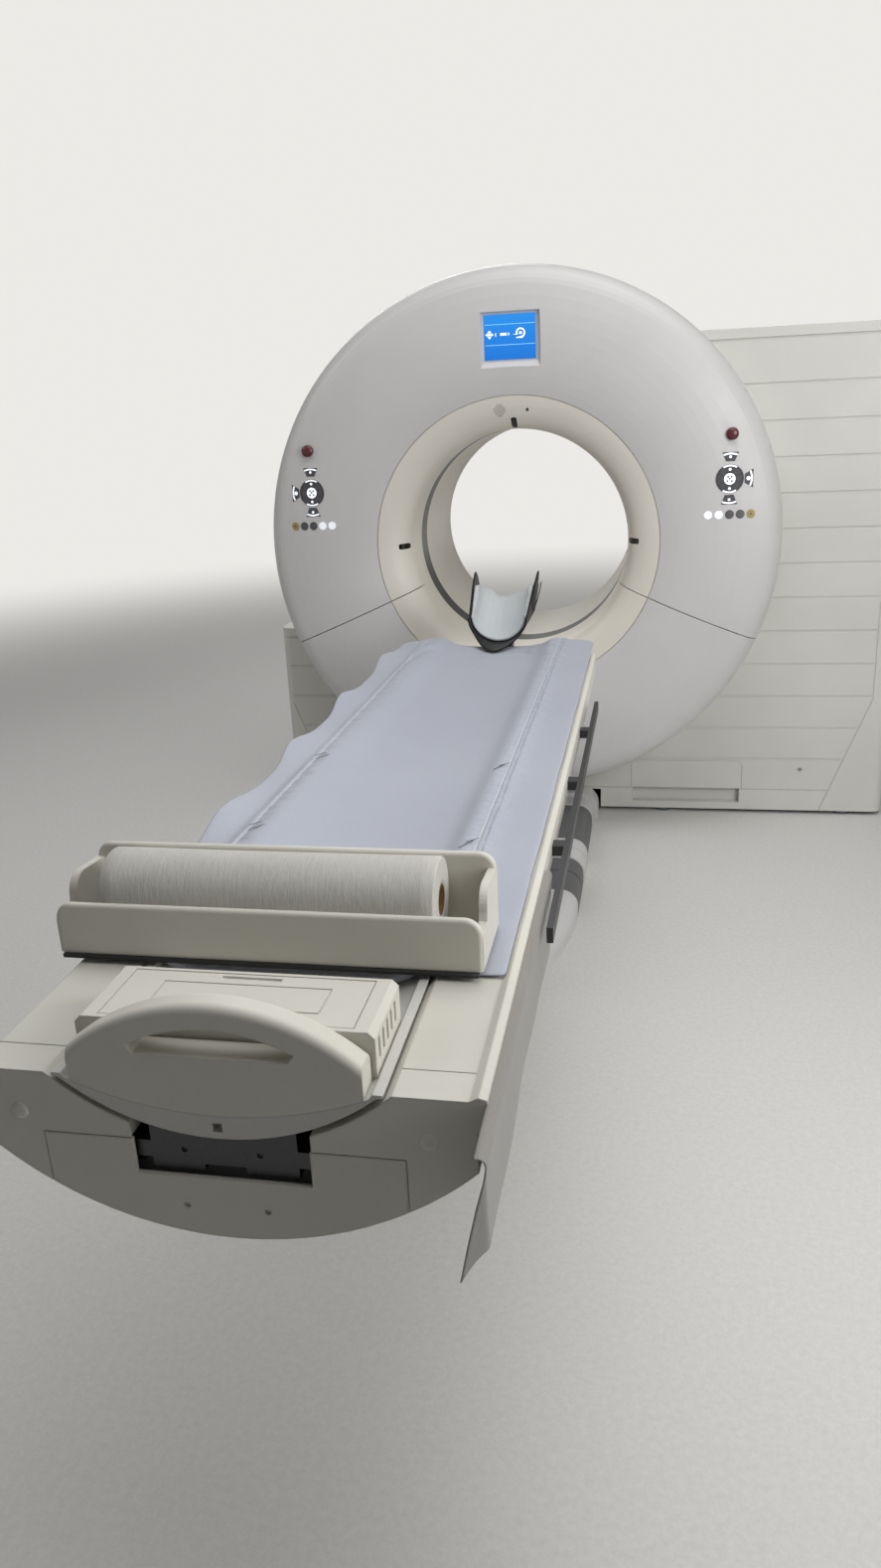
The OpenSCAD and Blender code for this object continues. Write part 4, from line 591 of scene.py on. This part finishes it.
def trough(x):
    """Height over X of the tabletop's round trough."""
    deep = TROUGH_HIGH - TROUGH_LOW
    radius = (TROUGH_HALF ** 2 + deep ** 2) / (2 * deep)
    return TROUGH_LOW + radius - math.sqrt(radius ** 2 - x ** 2)


def smooth(value):
    """0 to 1 with soft ends as value goes from 0 to 1."""
    value = min(max(value, 0), 1)
    return value * value * (3 - 2 * value)


def ripple(side, y):
    """How far the wing on this side stands up at y, from 0 to 1: long folds and short ones."""
    long = (0.5 + 0.5 * math.cos(2 * math.pi * (y + 2430 + 30 * math.sin(y / 300)) / 450)) ** 1.6
    short = 0.5 + 0.5 * math.sin(y / 37)
    return 0.94 * long + 0.06 * short if side < 0 else 0.12 * long + 0.1 * short


def pad_top(x):
    """Height over X of the foam: a shallow middle and a slope up to the bolsters."""
    middle = MIDDLE_Z + MIDDLE_RISE * min(abs(x) / MIDDLE_HALF, 1) ** 2
    return middle + (TOP_Z - MIDDLE_Z - MIDDLE_RISE) * smooth((abs(x) - SLOPE_FROM) / SLOPE_WIDTH)


def on_seam(x):
    """Whether x lies on one of the pulled-in columns."""
    return any(abs(x - seam) < SEAM_HALF for seam in SEAMS)


def mattress_point(u, y, lower):
    """A point of the cover's top or underside. u goes from -1 at the left edge to 1 at the right."""
    side = -1 if u < 0 else 1
    corner = 1 - math.sqrt(1 - min(max(y - HEAD_END + CORNER, 0) / CORNER, 1) ** 2)
    reach = WING_REACH + WING_WAVE * ripple(side, y) - CORNER_CUT * corner
    foam = FOAM_SHARE * WING
    x = u * WING
    if abs(u) >= FOAM_SHARE:
        x = side * (foam + (abs(u) - FOAM_SHARE) / WING_SHARE * (reach - foam))
    wave = WAVE_RISE * ripple(side, y) * (max(abs(x) - WAVE_FROM, 0) / WAVE_WIDTH) ** 2
    if lower:
        z = trough(x) if abs(x) < TROUGH_HALF else WING_UNDER
    else:
        z = pad_top(x) - WING_DROP * smooth((abs(x) - FOAM_EDGE[side]) / 10) - SEAM_PULL * on_seam(x)
    return (x, y, z + wave)


columns = [i / 24 for i in range(-24, 25)]
for seam in SEAMS:
    columns += [(seam + off) / WING for off in (-5, 0, 5)]
columns = sorted(set(round(u, 4) for u in columns))
rows = [FOOT_END + (HEAD_END - FOOT_END) * i / 180 for i in range(181)]
loop = 2 * len(columns)
points = [mattress_point(u, y, lower) for y in rows
          for lower, us in ((False, columns), (True, columns[::-1])) for u in us]
mattress = mesh_piece("mattress_cover", points, skin_faces(len(rows), loop), mattress_cloth, "table")
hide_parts("mattress")
under_holder = [y > -935 and abs(x) < 110 for x, y, z in points]
pins = [i for i, (x, y, z) in enumerate(points)
        if i % loop >= loop // 2 or on_seam(x) or abs(x) > 225 or under_holder[i]]
stuff(mattress, pins, pressure=3.0, extra=0.015, cap=mm(5))
smooth_skin(mattress)
print("mattress", len(points), "points")

# %% [markdown]
# The seams are welded tapes, and their paler colour is a painted highlight: the thin bright lines that the
# seams show. Each is a ribbon 4 mm wide laid over the pulled-in column. Bar tacks, short dark stitches
# beside the outer seams, hold the cover's straps. They could be painted on, but as ribbons they also
# stand out from the side.

# %% Seam tapes and bar tacks
TAPE_SINK, TACK_RISE = 2.4, 4.5
TACK_PLACES = [(-214, -2510), (-214, -2090), (178, -2560), (178, -2140)]
TACK_PAIR = [(0, 34), (9, 20)]


def ribbon(name, paths, width, material, body):
    """Flat ribbons over paths of points, width across X."""
    points, faces = [], []
    for path in paths:
        start = len(points)
        for x, y, z in path:
            points += [(x - width / 2, y, z), (x, y, z + 0.7), (x + width / 2, y, z)]
        for i in range(len(path) - 1):
            a = start + 3 * i
            faces += [(a, a + 1, a + 4, a + 3), (a + 1, a + 2, a + 5, a + 4)]
    return mesh_piece(name, points, faces, material, body)


seam_lines = [[(seam, y, pad_top(seam) - TAPE_SINK) for y in rows[1:-1]] for seam in SEAMS]
tapes = ribbon("mattress_seams", seam_lines, 4, highlight_tape, "table")
tacks = []
for x, y in TACK_PLACES:
    side = 1 if x > 0 else -1
    for row, (out, length) in enumerate(TACK_PAIR):
        tacks.append([(x + out * side - 8 + t * 4, y + 26 * row + length * t / 5, pad_top(x) + TACK_RISE)
                      for t in range(6)])
bar_tacks = ribbon("mattress_bar_tacks", tacks, 2.6, belt_rubber, "table")
print("tapes", len(SEAMS), "bar tacks", len(tacks))

# %% [markdown]
# ### Head holder
# The holder is a U-shaped cradle of carbon fibre. Its foot end is a rounded tongue that lies on the end
# of the mattress, its wings rise towards the top of the head, and a plug below it sits in the tabletop's
# end. Both the shell and its lining are grids over two values: s runs round the U from wing to wing, and
# t from the foot end to the head end.

# %% Shell of the head holder
CRADLE_X, CRADLE_Z, CRADLE_R, SHELL_WALL = -4, 846, 90, 5
CRADLE_FOOT, CRADLE_HEAD, CRADLE_ROWS, CRADLE_HALF = -800, -502, 36, 36
FLATTENED = 0.92
LEAN_OUT, LEAN_HEIGHT = 14, 110
TONGUE, TONGUE_ANGLE = 105, 62
WING_TOP = [(-800, 925), (-760, 938), (-700, 968), (-620, 1010), (-560, 1034), (-530, 1040), (-512, 1028),
            (-502, 985)]


def wing_top(y):
    """Height of the wings at y, on straight lines between the measured points."""
    for (y0, z0), (y1, z1) in zip(WING_TOP, WING_TOP[1:]):
        if y <= y1:
            part = min(max((y - y0) / (y1 - y0), 0), 1)
            return z0 + (z1 - z0) * part
    return WING_TOP[-1][1]


def wing_lean(z, arc_top):
    """How far the wings lean out at height z, above the round bottom's top."""
    return LEAN_OUT * max(z - arc_top, 0) / LEAN_HEIGHT


def cradle_point(s, t, radius, floor, top, tongue):
    """A point of the cradle. radius and floor set its round bottom, which is a little flatter than a
    circle, top lowers the wings' edges, and tongue is how far the foot end's middle reaches out.
    """
    quarter = math.pi / 2 * radius
    y = CRADLE_FOOT + (CRADLE_HEAD - CRADLE_FOOT) * t
    arc_top = floor + FLATTENED * radius
    way = abs(s) * (quarter + max(wing_top(y) - top - arc_top, 2))
    side = -1 if s < 0 else 1
    angle = min(way / radius, math.pi / 2)
    near = min(math.degrees(angle) / TONGUE_ANGLE, 1)
    y -= tongue * (1 - 3 * near ** 2 + 2 * near ** 3) * (1 - t) ** 3
    x = radius * math.sin(angle)
    z = floor + FLATTENED * radius * (1 - math.cos(angle)) + max(way - quarter, 0)
    return (CRADLE_X + side * (x + wing_lean(z, arc_top)), y, z)


def cradle(name, skin, material):
    """A closed shell. skin(outer, s, t) is a point of its inner surface, or with outer 1 of its outer."""
    spread = [i / CRADLE_HALF for i in range(-CRADLE_HALF, CRADLE_HALF + 1)]
    points = []
    for i in range(CRADLE_ROWS + 1):
        for outer, order in ((0, spread), (1, spread[::-1])):
            points += [skin(outer, s, i / CRADLE_ROWS) for s in order]
    return mesh_piece(name, points, skin_faces(CRADLE_ROWS + 1, 2 * len(spread)), material, "table")


def shell_skin(outer, s, t):
    """The shell's wall is added round the outside of its round bottom."""
    return cradle_point(s, t, CRADLE_R + SHELL_WALL * outer, CRADLE_Z - SHELL_WALL * outer, 0, TONGUE)


shell = cradle("head_cradle", shell_skin, carbon)
plug_outline = [(-42, 838), (-40, 800), (-34, 792), (34, 792), (40, 800), (42, 838)]
plug_ends = [(-798, 1), (-640, 0.8)]
points = [(CRADLE_X + x * width, y, z) for y, width in plug_ends for x, z in plug_outline]
faces = [(i, (i + 1) % 6, 6 + (i + 1) % 6, 6 + i) for i in range(6)]
faces += [tuple(range(5, -1, -1)), tuple(range(6, 12))]
end_plug = mesh_piece("head_cradle_plug", points, faces, carbon, "table")
for piece in (shell, end_plug):
    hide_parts("head_holder")
smooth_skin(shell)
print("cradle", [round(v, 3) for v in shell.dimensions])

# %% [markdown]
# A foam pad with a brushed cover lies in the shell and rises at the head end to close it. Its cover has
# creases along its length, and its far edge is wavy. Cloth alone would blow it up evenly, so the creases
# are in the grid that it starts from. The foam is blown up like the mattress.

# %% Lining of the head holder
LINING_GAP, LINING_ARC = 0.8, 190
PAD_START, PAD_SPAN = 0.12, 0.88
PAD_THICK, PAD_RISE, PAD_SIDE = 10, 94, 7
PAD_BELOW_WING, PAD_END_Z, PAD_END_DIP = 12, 1022, 48


def lining_skin(outer, s, t):
    """A point of the pad: outer 1 lies against the shell, outer 0 is the thick, creased side."""
    rise = smooth(t)
    way = s * LINING_ARC
    crease = 1.6 * noise.noise(Vector((way / 8, t * 2.2, 3))) + 0.8 * noise.noise(Vector((way / 3.5, t, 8)))
    floor, radius = CRADLE_Z + LINING_GAP, CRADLE_R - LINING_GAP
    if not outer:
        floor += PAD_THICK + crease + PAD_RISE * rise + 3 * math.sin(way / 24) * rise
        radius -= PAD_SIDE + crease * 0.5
    x, y, z = cradle_point(s, t * PAD_SPAN + PAD_START, radius, floor, PAD_BELOW_WING - 5 * t, 0)
    if not outer:
        z = min(z, wing_top(y) - PAD_BELOW_WING)
    return (x, y, min(z, PAD_END_Z - PAD_END_DIP * t * t + 4 * math.sin(way / 15)))


head_lining = cradle("head_lining", lining_skin, lining)
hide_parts("head_pad")
loop = 2 * (2 * CRADLE_HALF + 1)
pins = [i for i in range((CRADLE_ROWS + 1) * loop) if i % loop >= loop // 2 or i < loop]
stuff(head_lining, pins, pressure=2.0, extra=0.02, cap=mm(2.5))
smooth_skin(head_lining)
print("lining", len(head_lining.data.vertices), "points")

# %% [markdown]
# A strap holder is clipped to the outside of the right wing: a narrow black pocket with a pale webbing.

# %% Strap pocket
POCKET_Y, POCKET_THICK, POCKET_GAP, POCKET_LEAN_FROM = -600, 3, 0.5, 929


def pocket(name, bow, half, z0, z1, material):
    """A thin upright plate outside the right wing, up to half on each side of its middle. Its top stands
    bow mm further out than its foot.
    """
    points = []
    for i in range(13):
        z = z0 + (z1 - z0) * i / 12
        width = half * (0.35 + 0.65 * math.sin(math.pi * min(i / 12 + 0.12, 0.9)))
        x = CRADLE_X + (CRADLE_R + SHELL_WALL + POCKET_GAP) + wing_lean(z, POCKET_LEAN_FROM)
        x += bow * math.sin(math.pi / 2 * i / 12)
        near, far = POCKET_Y - width, POCKET_Y + width
        points += [(x, near, z), (x + POCKET_THICK, near, z), (x + POCKET_THICK, far, z), (x, far, z)]
    faces = [(4 * i + j, 4 * i + (j + 1) % 4, 4 * i + 4 + (j + 1) % 4, 4 * i + 4 + j)
             for i in range(12) for j in range(4)] + [(3, 2, 1, 0), (48, 49, 50, 51)]
    piece = mesh_piece(name, points, faces, material, "table")
    smooth_skin(piece)


pocket("strap_pocket", 15, 24, 912, 1014, belt_rubber)
pocket("strap_webbing", 8, 10, 922, 1008, lining)
print("strap pocket")

# %% [markdown]
# ### Side flap
# A sheet of heavy vinyl hangs from the right side cover's rail. It is cut as a plain rectangle. Its near
# end stands past the table's foot with nothing behind it, so the lower corner has folded inwards. Cloth
# could let it fall, but not into this one fold. So the fold is a line on the flat sheet, and the points
# past it are turned about that line.

# %% Side flap
FLAP_X, FLAP_TOP, FLAP_NEAR, FLAP_LEN = 320, 850, -3340, 740
FLAP_DROP, FLAP_HELD, FLAP_THICK, CORNER_LEN = 149, 12, 1.6, 70
FLAP_WAY = [(0, 0), (6, 0.4), (11, -3), (12.6, -9), (11.5, -22), (9.5, -50), (7.5, -90), (6, -125),
            (4.5, -FLAP_DROP)]
FOLD_FROM, FOLD_TO, FOLD_ANGLE = (0, 6), (48, 150), math.radians(42)
FOLD_BEND, BEND_STEPS = 9, 20


def hanging(along, drop):
    """A point of the flat sheet: X and Z from its hanging outline, with faint ripples along it."""
    x, z = FLAP_WAY[-1]
    for (x0, z0), (x1, z1) in zip(FLAP_WAY[2:], FLAP_WAY[3:]):
        if -z1 >= drop:
            part = (drop + z0) / (z0 - z1)
            x = x0 + (x1 - x0) * part
            break
    hang = min(max(drop - FLAP_HELD, 0) / (FLAP_DROP - FLAP_HELD), 1)
    x += hang * (1.6 * math.sin(along / 95) + 0.8 * math.sin(along / 41 + 2))
    return (FLAP_X + x, FLAP_NEAR + along, FLAP_TOP - drop)


def flap_point(along, down, thick):
    """down counts along the hanging outline's points. Past the fold line the sheet turns towards -X."""
    i = min(int(down), len(FLAP_WAY) - 2)
    x, z = [a + (b - a) * (down - i) for a, b in zip(FLAP_WAY[i], FLAP_WAY[i + 1])]
    if down <= 3:
        return (FLAP_X + x - thick, FLAP_NEAR + along, FLAP_TOP + z)
    way = (FOLD_TO[0] - FOLD_FROM[0], FOLD_TO[1] - FOLD_FROM[1])
    length = math.hypot(*way)
    off = (along - FOLD_FROM[0], -z - FOLD_FROM[1])
    beyond = (off[1] * way[0] - off[0] * way[1]) / length
    if beyond <= 0:
        x, y, z = hanging(along, -z)
        return (x - thick, y, z)
    foot = (off[0] * way[0] + off[1] * way[1]) / length
    on_line = (FOLD_FROM[0] + way[0] * foot / length, FOLD_FROM[1] + way[1] * foot / length)
    inward = flat = 0.0
    for step in range(BEND_STEPS):
        angle = FOLD_ANGLE * min((step + 0.5) / BEND_STEPS * beyond / FOLD_BEND, 1)
        inward += math.sin(angle) * beyond / BEND_STEPS
        flat += math.cos(angle) * beyond / BEND_STEPS
    x, y, z = hanging(max(on_line[0], 0), min(on_line[1], FLAP_DROP))
    return (x - inward - thick, y - flat * way[1] / length, z - flat * way[0] / length - beyond ** 2 / 90)


alongs = [3.5 * i for i in range(20)]
alongs += [CORNER_LEN + (FLAP_LEN - CORNER_LEN) * i / 56 for i in range(57)]
downs = [i / 3 for i in range(12)] + [4 + i / 9 for i in range(9 * (len(FLAP_WAY) - 5) + 1)]
loop = 2 * len(downs)
points = [flap_point(a, d, thick) for a in alongs
          for thick, ds in ((0, downs), (FLAP_THICK, downs[::-1])) for d in ds]
side_flap = mesh_piece("hanging_flap", points, skin_faces(len(alongs), loop), flap_vinyl, "lift")
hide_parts("side_flap")
print("flap", len(points), "points")

# %% [markdown]
# ### Dark mat under the roll holder, painted shade
# A thin black rubber sheet lies under the holder, where the gap below its front plate is in shade. It is
# painted shade, and shows as a dark line below the front plate.
# A box would do for that, but where the mat reaches past the mattress it sags a little.

# %% Rubber mat
MAT_LEFT, MAT_WIDTH, MAT_FRONT, MAT_DEPTH = -326, 596, -2985, 17
MAT_TOP, MAT_UNDER, MAT_LOOSE_FROM = 864.6, 859, 205


def mat_point(x, y, top):
    """A point of the mat's top or underside."""
    sag = 0.5 * math.sin(x / 70) * math.sin(y / 40)
    return (x, y, (MAT_TOP if top else MAT_UNDER) + (sag if abs(x) > MAT_LOOSE_FROM else 0))


mat_xs = [MAT_LEFT + MAT_WIDTH * i / 40 for i in range(41)]
mat_ys = [MAT_FRONT + MAT_DEPTH * i / 6 for i in range(7)]
points = [mat_point(x, y, top) for y in mat_ys
          for top, xs in ((True, mat_xs), (False, mat_xs[::-1])) for x in xs]
# The mat is a dark sheet that paints the shade below the holder's front plate.
mat = mesh_piece("roll_holder_painted_shade_mat", points, skin_faces(len(mat_ys), 2 * len(mat_xs)), belt_rubber, "table")
print("mat", [round(v, 3) for v in mat.dimensions])

# %% [markdown]
# ### Paper roll
# Crepe paper is wound on a cardboard core. The wound ends show thin rings, which the material draws from
# the distance to the roll's axis, and creases run across the paper, 5 mm apart. No roll is wound quite
# evenly. A lathe makes both pieces: an outline of radius and place is turned about the roll's axis.

# %% Crepe paper and cardboard
ROLL, ROLL_LENGTH, ROLL_R, CORE_R = (-270, -2909, 936), 480, 59, 22
material, tree, place = new_finish("crepe_paper")
drawn = put(tree, "ShaderNodeVectorMath", {"operation": "MULTIPLY"}, i0=place,
            i1=(1 / mm(5), 1 / mm(22), 1 / mm(22)))
crepe = put(tree, "ShaderNodeTexNoise", Vector=drawn.outputs[0], Scale=1, Detail=4, Roughness=0.65)
centred = put(tree, "ShaderNodeVectorMath", {"operation": "SUBTRACT"}, i0=place,
              i1=mm(0, *ROLL[1:]))
flat = put(tree, "ShaderNodeVectorMath", {"operation": "MULTIPLY"}, i0=centred.outputs[0], i1=(0, 1, 1))
radius = put(tree, "ShaderNodeVectorMath", {"operation": "LENGTH"}, i0=flat.outputs[0])
turns = put(tree, "ShaderNodeTexNoise", {"noise_dimensions": "1D"}, W=radius.outputs["Value"],
            Scale=1 / mm(1.5), Detail=2)
wound = put(tree, "ShaderNodeMath", {"operation": "MULTIPLY_ADD"}, i0=turns.outputs[0], i1=0.7,
            i2=crepe.outputs[0])
surface(tree, wound.outputs[0], mm(0.9), 0, Roughness=0.9, Sheen_Weight=0.15,
        Base_Color=between(tree, wound.outputs[0], "b3b0a8", "cbc9c2"))
crepe_paper = material

material, tree, place = new_finish("wound_cardboard")
fibres = put(tree, "ShaderNodeTexNoise", Vector=place, Scale=1 / mm(2), Detail=4)
surface(tree, fibres.outputs[0], mm(0.2), 0, Roughness=0.85,
        Base_Color=between(tree, fibres.outputs[0], "6b4c35", "80603f"))
cardboard = material


# %% Paper roll
def turned(name, outline, centre, axis, material, body, steps=64, wobble=0.0):
    """Turns an outline of (radius, place along the axis) about the axis "X" or "Y" through centre.
    wobble is how far in millimetres the radius strays.
    """
    points, faces, count = [], [], len(outline)
    for i in range(steps):
        angle = 2 * math.pi * i / steps
        for radius, along in outline:
            r = radius + wobble * noise.noise(Vector((math.cos(angle), math.sin(angle), along / 120)))
            a, b = r * math.cos(angle), r * math.sin(angle)
            offset = (along, a, b) if axis == "X" else (a, along, b)
            points.append([c + o for c, o in zip(centre, offset)])
        for j in range(count):
            k, n = (j + 1) % count, (i + 1) % steps
            faces.append((i * count + j, i * count + k, n * count + k, n * count + j))
    return mesh_piece(name, points, faces, material, body)


wound_end = [(CORE_R, 0), (30, -0.8), (38, 0.3), (47, -0.6), (55, 0.2), (58, 0.6), (ROLL_R, 2.4)]
wide = [(ROLL_R, 2.4 + (ROLL_LENGTH - 4.8) * i / 24) for i in range(1, 24)]
outline = wound_end + wide + [(r, ROLL_LENGTH - x) for r, x in reversed(wound_end)]
paper = turned("paper_roll_wound", outline, ROLL, "X", crepe_paper, "table", 96, 0.8)
core_end = [(CORE_R, 0.5), (21, -0.5), (20, -0.5), (19.4, 0)]
outline = core_end + [(r, ROLL_LENGTH - x) for r, x in reversed(core_end)]
core = turned("paper_roll_core", outline, ROLL, "X", cardboard, "table", 48)
for piece in (paper, core):
    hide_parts("paper_roll")
print("paper roll", [round(v, 3) for v in paper.dimensions])

# %% [markdown]
# ## Marks and small pieces
# The screen shows a plain picture of a machine of this kind: two lines, small arrows, a bar and a ring.
# The keypads have lit marks. An image could carry them all, but outlines stay sharp from near and need no
# file. The screen is flat. The keypads follow the ring's curved cover, so the points of their marks are
# pushed onto it: the cover's own curve gives the depth at each point.

# %% Lit marks
ISO_H, FRONT_Y, FUNNEL_R, RING_R = 1096, -340, 500, 915
SCREEN_LINE_Y, SCREEN_MARK_Y = -318.5, -318.7
FACE = [[FUNNEL_R + 3, 30], [FUNNEL_R + 90, 2], [RING_R - 195, -8], [RING_R - 65, 24]]


def bezier(control, t):
    """Point at t, from 0 to 1, of the curve that four control points set."""
    weights = ((1 - t) ** 3, 3 * t * (1 - t) ** 2, 3 * t * t * (1 - t), t ** 3)
    return [sum(w * p[k] for w, p in zip(weights, control)) for k in range(2)]


def cover_y(x, z, rise):
    """Y of a point rise mm in front of the round cover at x, z."""
    reach = math.hypot(x, z - ISO_H)
    low, high = 0.0, 1.0
    for _ in range(30):
        middle = (low + high) / 2
        low, high = (middle, high) if bezier(FACE, middle)[0] < reach else (low, middle)
    return FRONT_Y + bezier(FACE, low)[1] - rise


def marks(name, outlines, depth, material, body, slot):
    """Flat outlines in X and Z, each closed into a face. depth gives Y at x, z."""
    points, faces = [], []
    for outline in outlines:
        faces.append(tuple(range(len(points), len(points) + len(outline))))
        points += [(x, depth(x, z), z) for x, z in outline]
    piece = mesh_piece(name, points, faces, material, body)
    return piece


def disc(x, z, r, n=20):
    """Outline of a round mark."""
    return [(x + r * math.cos(2 * math.pi * i / n), z - r * math.sin(2 * math.pi * i / n)) for i in range(n)]


def bar(x0, z0, x1, z1):
    """Outline of a straight mark between two corners."""
    return [(x0, z0), (x0, z1), (x1, z1), (x1, z0)]


def bent_bar(x, z, r0, r1, start, end, n=10):
    """Part of a ring about x, z between two angles in degrees, as quads."""
    angles = [math.radians(start + (end - start) * i / n) for i in range(n + 1)]
    at = [[(x + r * math.cos(a), z + r * math.sin(a)) for a in angles] for r in (r0, r1)]
    return [[at[0][i], at[0][i + 1], at[1][i + 1], at[1][i]] for i in range(n)]


lamp_white = key_cap("lit_mark", "eef3fa", "f7faff", 0.55)
lamp_blue = key_cap("lit_screen_line", "7cc6ff", "8ccfff", 0.6)
band_top, band_low = 1820, 1756
lines = [bar(-86, z, 82, z + 1.8) for z in (band_top, band_low)]
marks("screen_lines", lines, lambda x, z: SCREEN_LINE_Y, lamp_blue, "gantry", "screen_glass")
mid = (band_top + band_low) / 2 + 2
cross = [[(-70, 14), (-62, 5), (-78, 5)], [(-70, -14), (-78, -5), (-62, -5)],
         [(-84, 0), (-77, 5), (-77, -5)], [(-56, 0), (-63, -5), (-63, 5)], bar(-76, -3, -64, 3)]
table_arrow = [bar(-51, -6, -48, 5), bar(-34, -4, -12, 4), [(-7, 6), (-2, 0), (-7, -6)]]
picture = [[(x, mid + z) for x, z in outline] for outline in cross + table_arrow]
picture += bent_bar(34, mid + 2, 11, 16, -100, 200, 16)
picture += [bar(10, mid - 3, 26, mid - 1.5), bar(20, mid - 14, 42, mid - 10), disc(34, mid + 2, 5)]
marks("screen_marks", picture, lambda x, z: SCREEN_MARK_Y, lamp_white, "gantry", "screen_glass")

KEYPAD_X, KEYPAD_Z = 726, 1300
KEY_X, KEY_STEP, GOLD_KEY_Z = 659, 35, 1184
MARK_RISE, DOT_RISE, GOLD_RISE = 2.1, 2.4, 1.4
outlines, dots = [], []
for side in (-1, 1):
    cx, cz = side * KEYPAD_X, KEYPAD_Z
    outlines.append(disc(cx, cz, 18.8, 28))
    dots += [disc(cx + a, cz + b, 3.2, 10) for a, b in ((-6, 7), (6, 7), (-7, -7), (7, -7), (0, 1))]
    side_way = 0 if side > 0 else 180
    for x, z, r0, r1, way, half in ((cx, cz, 40.5, 45.5, 90, 30), (cx, cz, 40.5, 45.5, 270, 30),
                                    (cx, cz + 21, 57.5, 63, 90, 22), (cx, cz - 18, 57.5, 63, 270, 22),
                                    (cx + side * 13, cz, 56, 61.5, side_way, 24)):
        outlines += bent_bar(x, z, r0, r1, way - half, way + half)
    outlines += [disc(cx, cz + z, 4.6) for z in (31, -31, 71, -67)]
    outlines.append(disc(cx + side * 61, cz, 6.8))
marks("keypad_marks", outlines, lambda x, z: cover_y(x, z, MARK_RISE), lamp_white, "gantry",
      "dark_plastic")
marks("keypad_dots", dots, lambda x, z: cover_y(x, z, DOT_RISE), silicone, "gantry", "dark_plastic")
for side, label in ((-1, "left"), (1, "right")):
    x = side * (KEY_X + 4 * KEY_STEP)
    target = [disc(x, GOLD_KEY_Z, 4.5, 14), *bent_bar(x, GOLD_KEY_Z, 8, 9.6, 0, 360, 24)]
    marks(f"gold_key_mark_{label}", target, lambda x, z: cover_y(x, z, GOLD_RISE), dark_cap,
          f"push_key_{label}_5", "key_gold")
print("marks on screen and keypads")

# %% [markdown]
# Plugs cover the screws on the table's foot, and a key lock sits low on the right body cover. All are
# turned pieces, made with the paper roll's lathe. The lock's keyway is a flat dark mark: painted shade
# for the slot's recess.

# %% Plugs and lock
PLUG_X, PLUG_Y, PLUG_Z = 252, -3247, 795
LOCK_X, LOCK_Y, LOCK_Z = 1048, -22.5, 182
plug = [(0, -1.6), (5, -1.5), (9.5, -1.1), (11.2, -0.2), (11.4, 0.8), (0, 0.8)]
for number, x in enumerate((-PLUG_X, PLUG_X)):
    piece = turned(f"screw_plug_{number}", plug, (x, PLUG_Y, PLUG_Z), "Y", fitting_abs, "lift", 32)
collar = [(4, -1.2), (7, -1.4), (7.6, -0.6), (7.6, 6), (4, 6)]
barrel = [(0, 0.6), (3.6, 0.6), (3.8, 1.4), (3.8, 6), (0, 6)]
for name, outline in (("lock_collar", collar), ("lock_barrel", barrel)):
    piece = turned(name, outline, (LOCK_X, LOCK_Y, LOCK_Z), "Y", steel, "gantry", 32)
# The keyway's dark mark is painted shade for the recess of the slot.
keyway = bar(LOCK_X - 0.7, LOCK_Z - 2.4, LOCK_X + 0.7, LOCK_Z + 2.4)
marks("lock_keyway_painted_shade", [keyway], lambda x, z: LOCK_Y + 0.4, belt_rubber, "gantry", "dark_plastic")
print("plugs and lock")

# %% [markdown]
# ## Floor
# The floor is a pale vinyl sheet with a fine speckle, drawn at 14 mm. Near the machine it takes light and
# shadow like any floor. Far out it turns, for what the camera, gloss and glass see, into the backdrop's
# own colour, so that no horizon shows. A curved wall could hide the horizon too, but it would need one
# place for every view.

# %% Floor
FLOOR_HALF, HAZE_FROM, HAZE_FULL = 30, 3.2, 9.0
material, tree, place = new_finish("pale_vinyl_floor")
specks = put(tree, "ShaderNodeTexNoise", Vector=place, Scale=1 / mm(14), Detail=3, Roughness=0.8)
tone = put(tree, "ShaderNodeMapRange", Value=specks.outputs[0], From_Min=0.35, From_Max=0.65)
laid = put(tree, "ShaderNodeBsdfPrincipled", Roughness=0.45,
           Base_Color=between(tree, tone.outputs[0], "cfcecb", "d8d7d4"))
reach = put(tree, "ShaderNodeVectorMath", {"operation": "LENGTH"}, i0=place)
far = put(tree, "ShaderNodeMapRange", {"interpolation_type": "SMOOTHSTEP"}, Value=reach.outputs["Value"],
          From_Min=HAZE_FROM, From_Max=HAZE_FULL)
share = put(tree, "ShaderNodeMath", {"operation": "MULTIPLY"}, i0=far.outputs[0], i1=seen_rays(tree, 1))
haze = put(tree, "ShaderNodeEmission", Color=linear(BACKDROP), Strength=1.0)
mix = put(tree, "ShaderNodeMixShader", Fac=share.outputs[0], i1=laid.outputs[0], i2=haze.outputs[0])
put(tree, "ShaderNodeOutputMaterial", Surface=mix.outputs[0])

floor_mesh = bpy.data.meshes.new("floor")
floor_corners = [(FLOOR_HALF * x, FLOOR_HALF * y, 0) for x, y in ((-1, -1), (1, -1), (1, 1), (-1, 1))]
floor_mesh.from_pydata(floor_corners, [], [(0, 1, 2, 3)])
floor_mesh.materials.append(material)
floor = bpy.data.objects.new("floor", floor_mesh)
bpy.context.scene.collection.objects.link(floor)
print("floor laid")
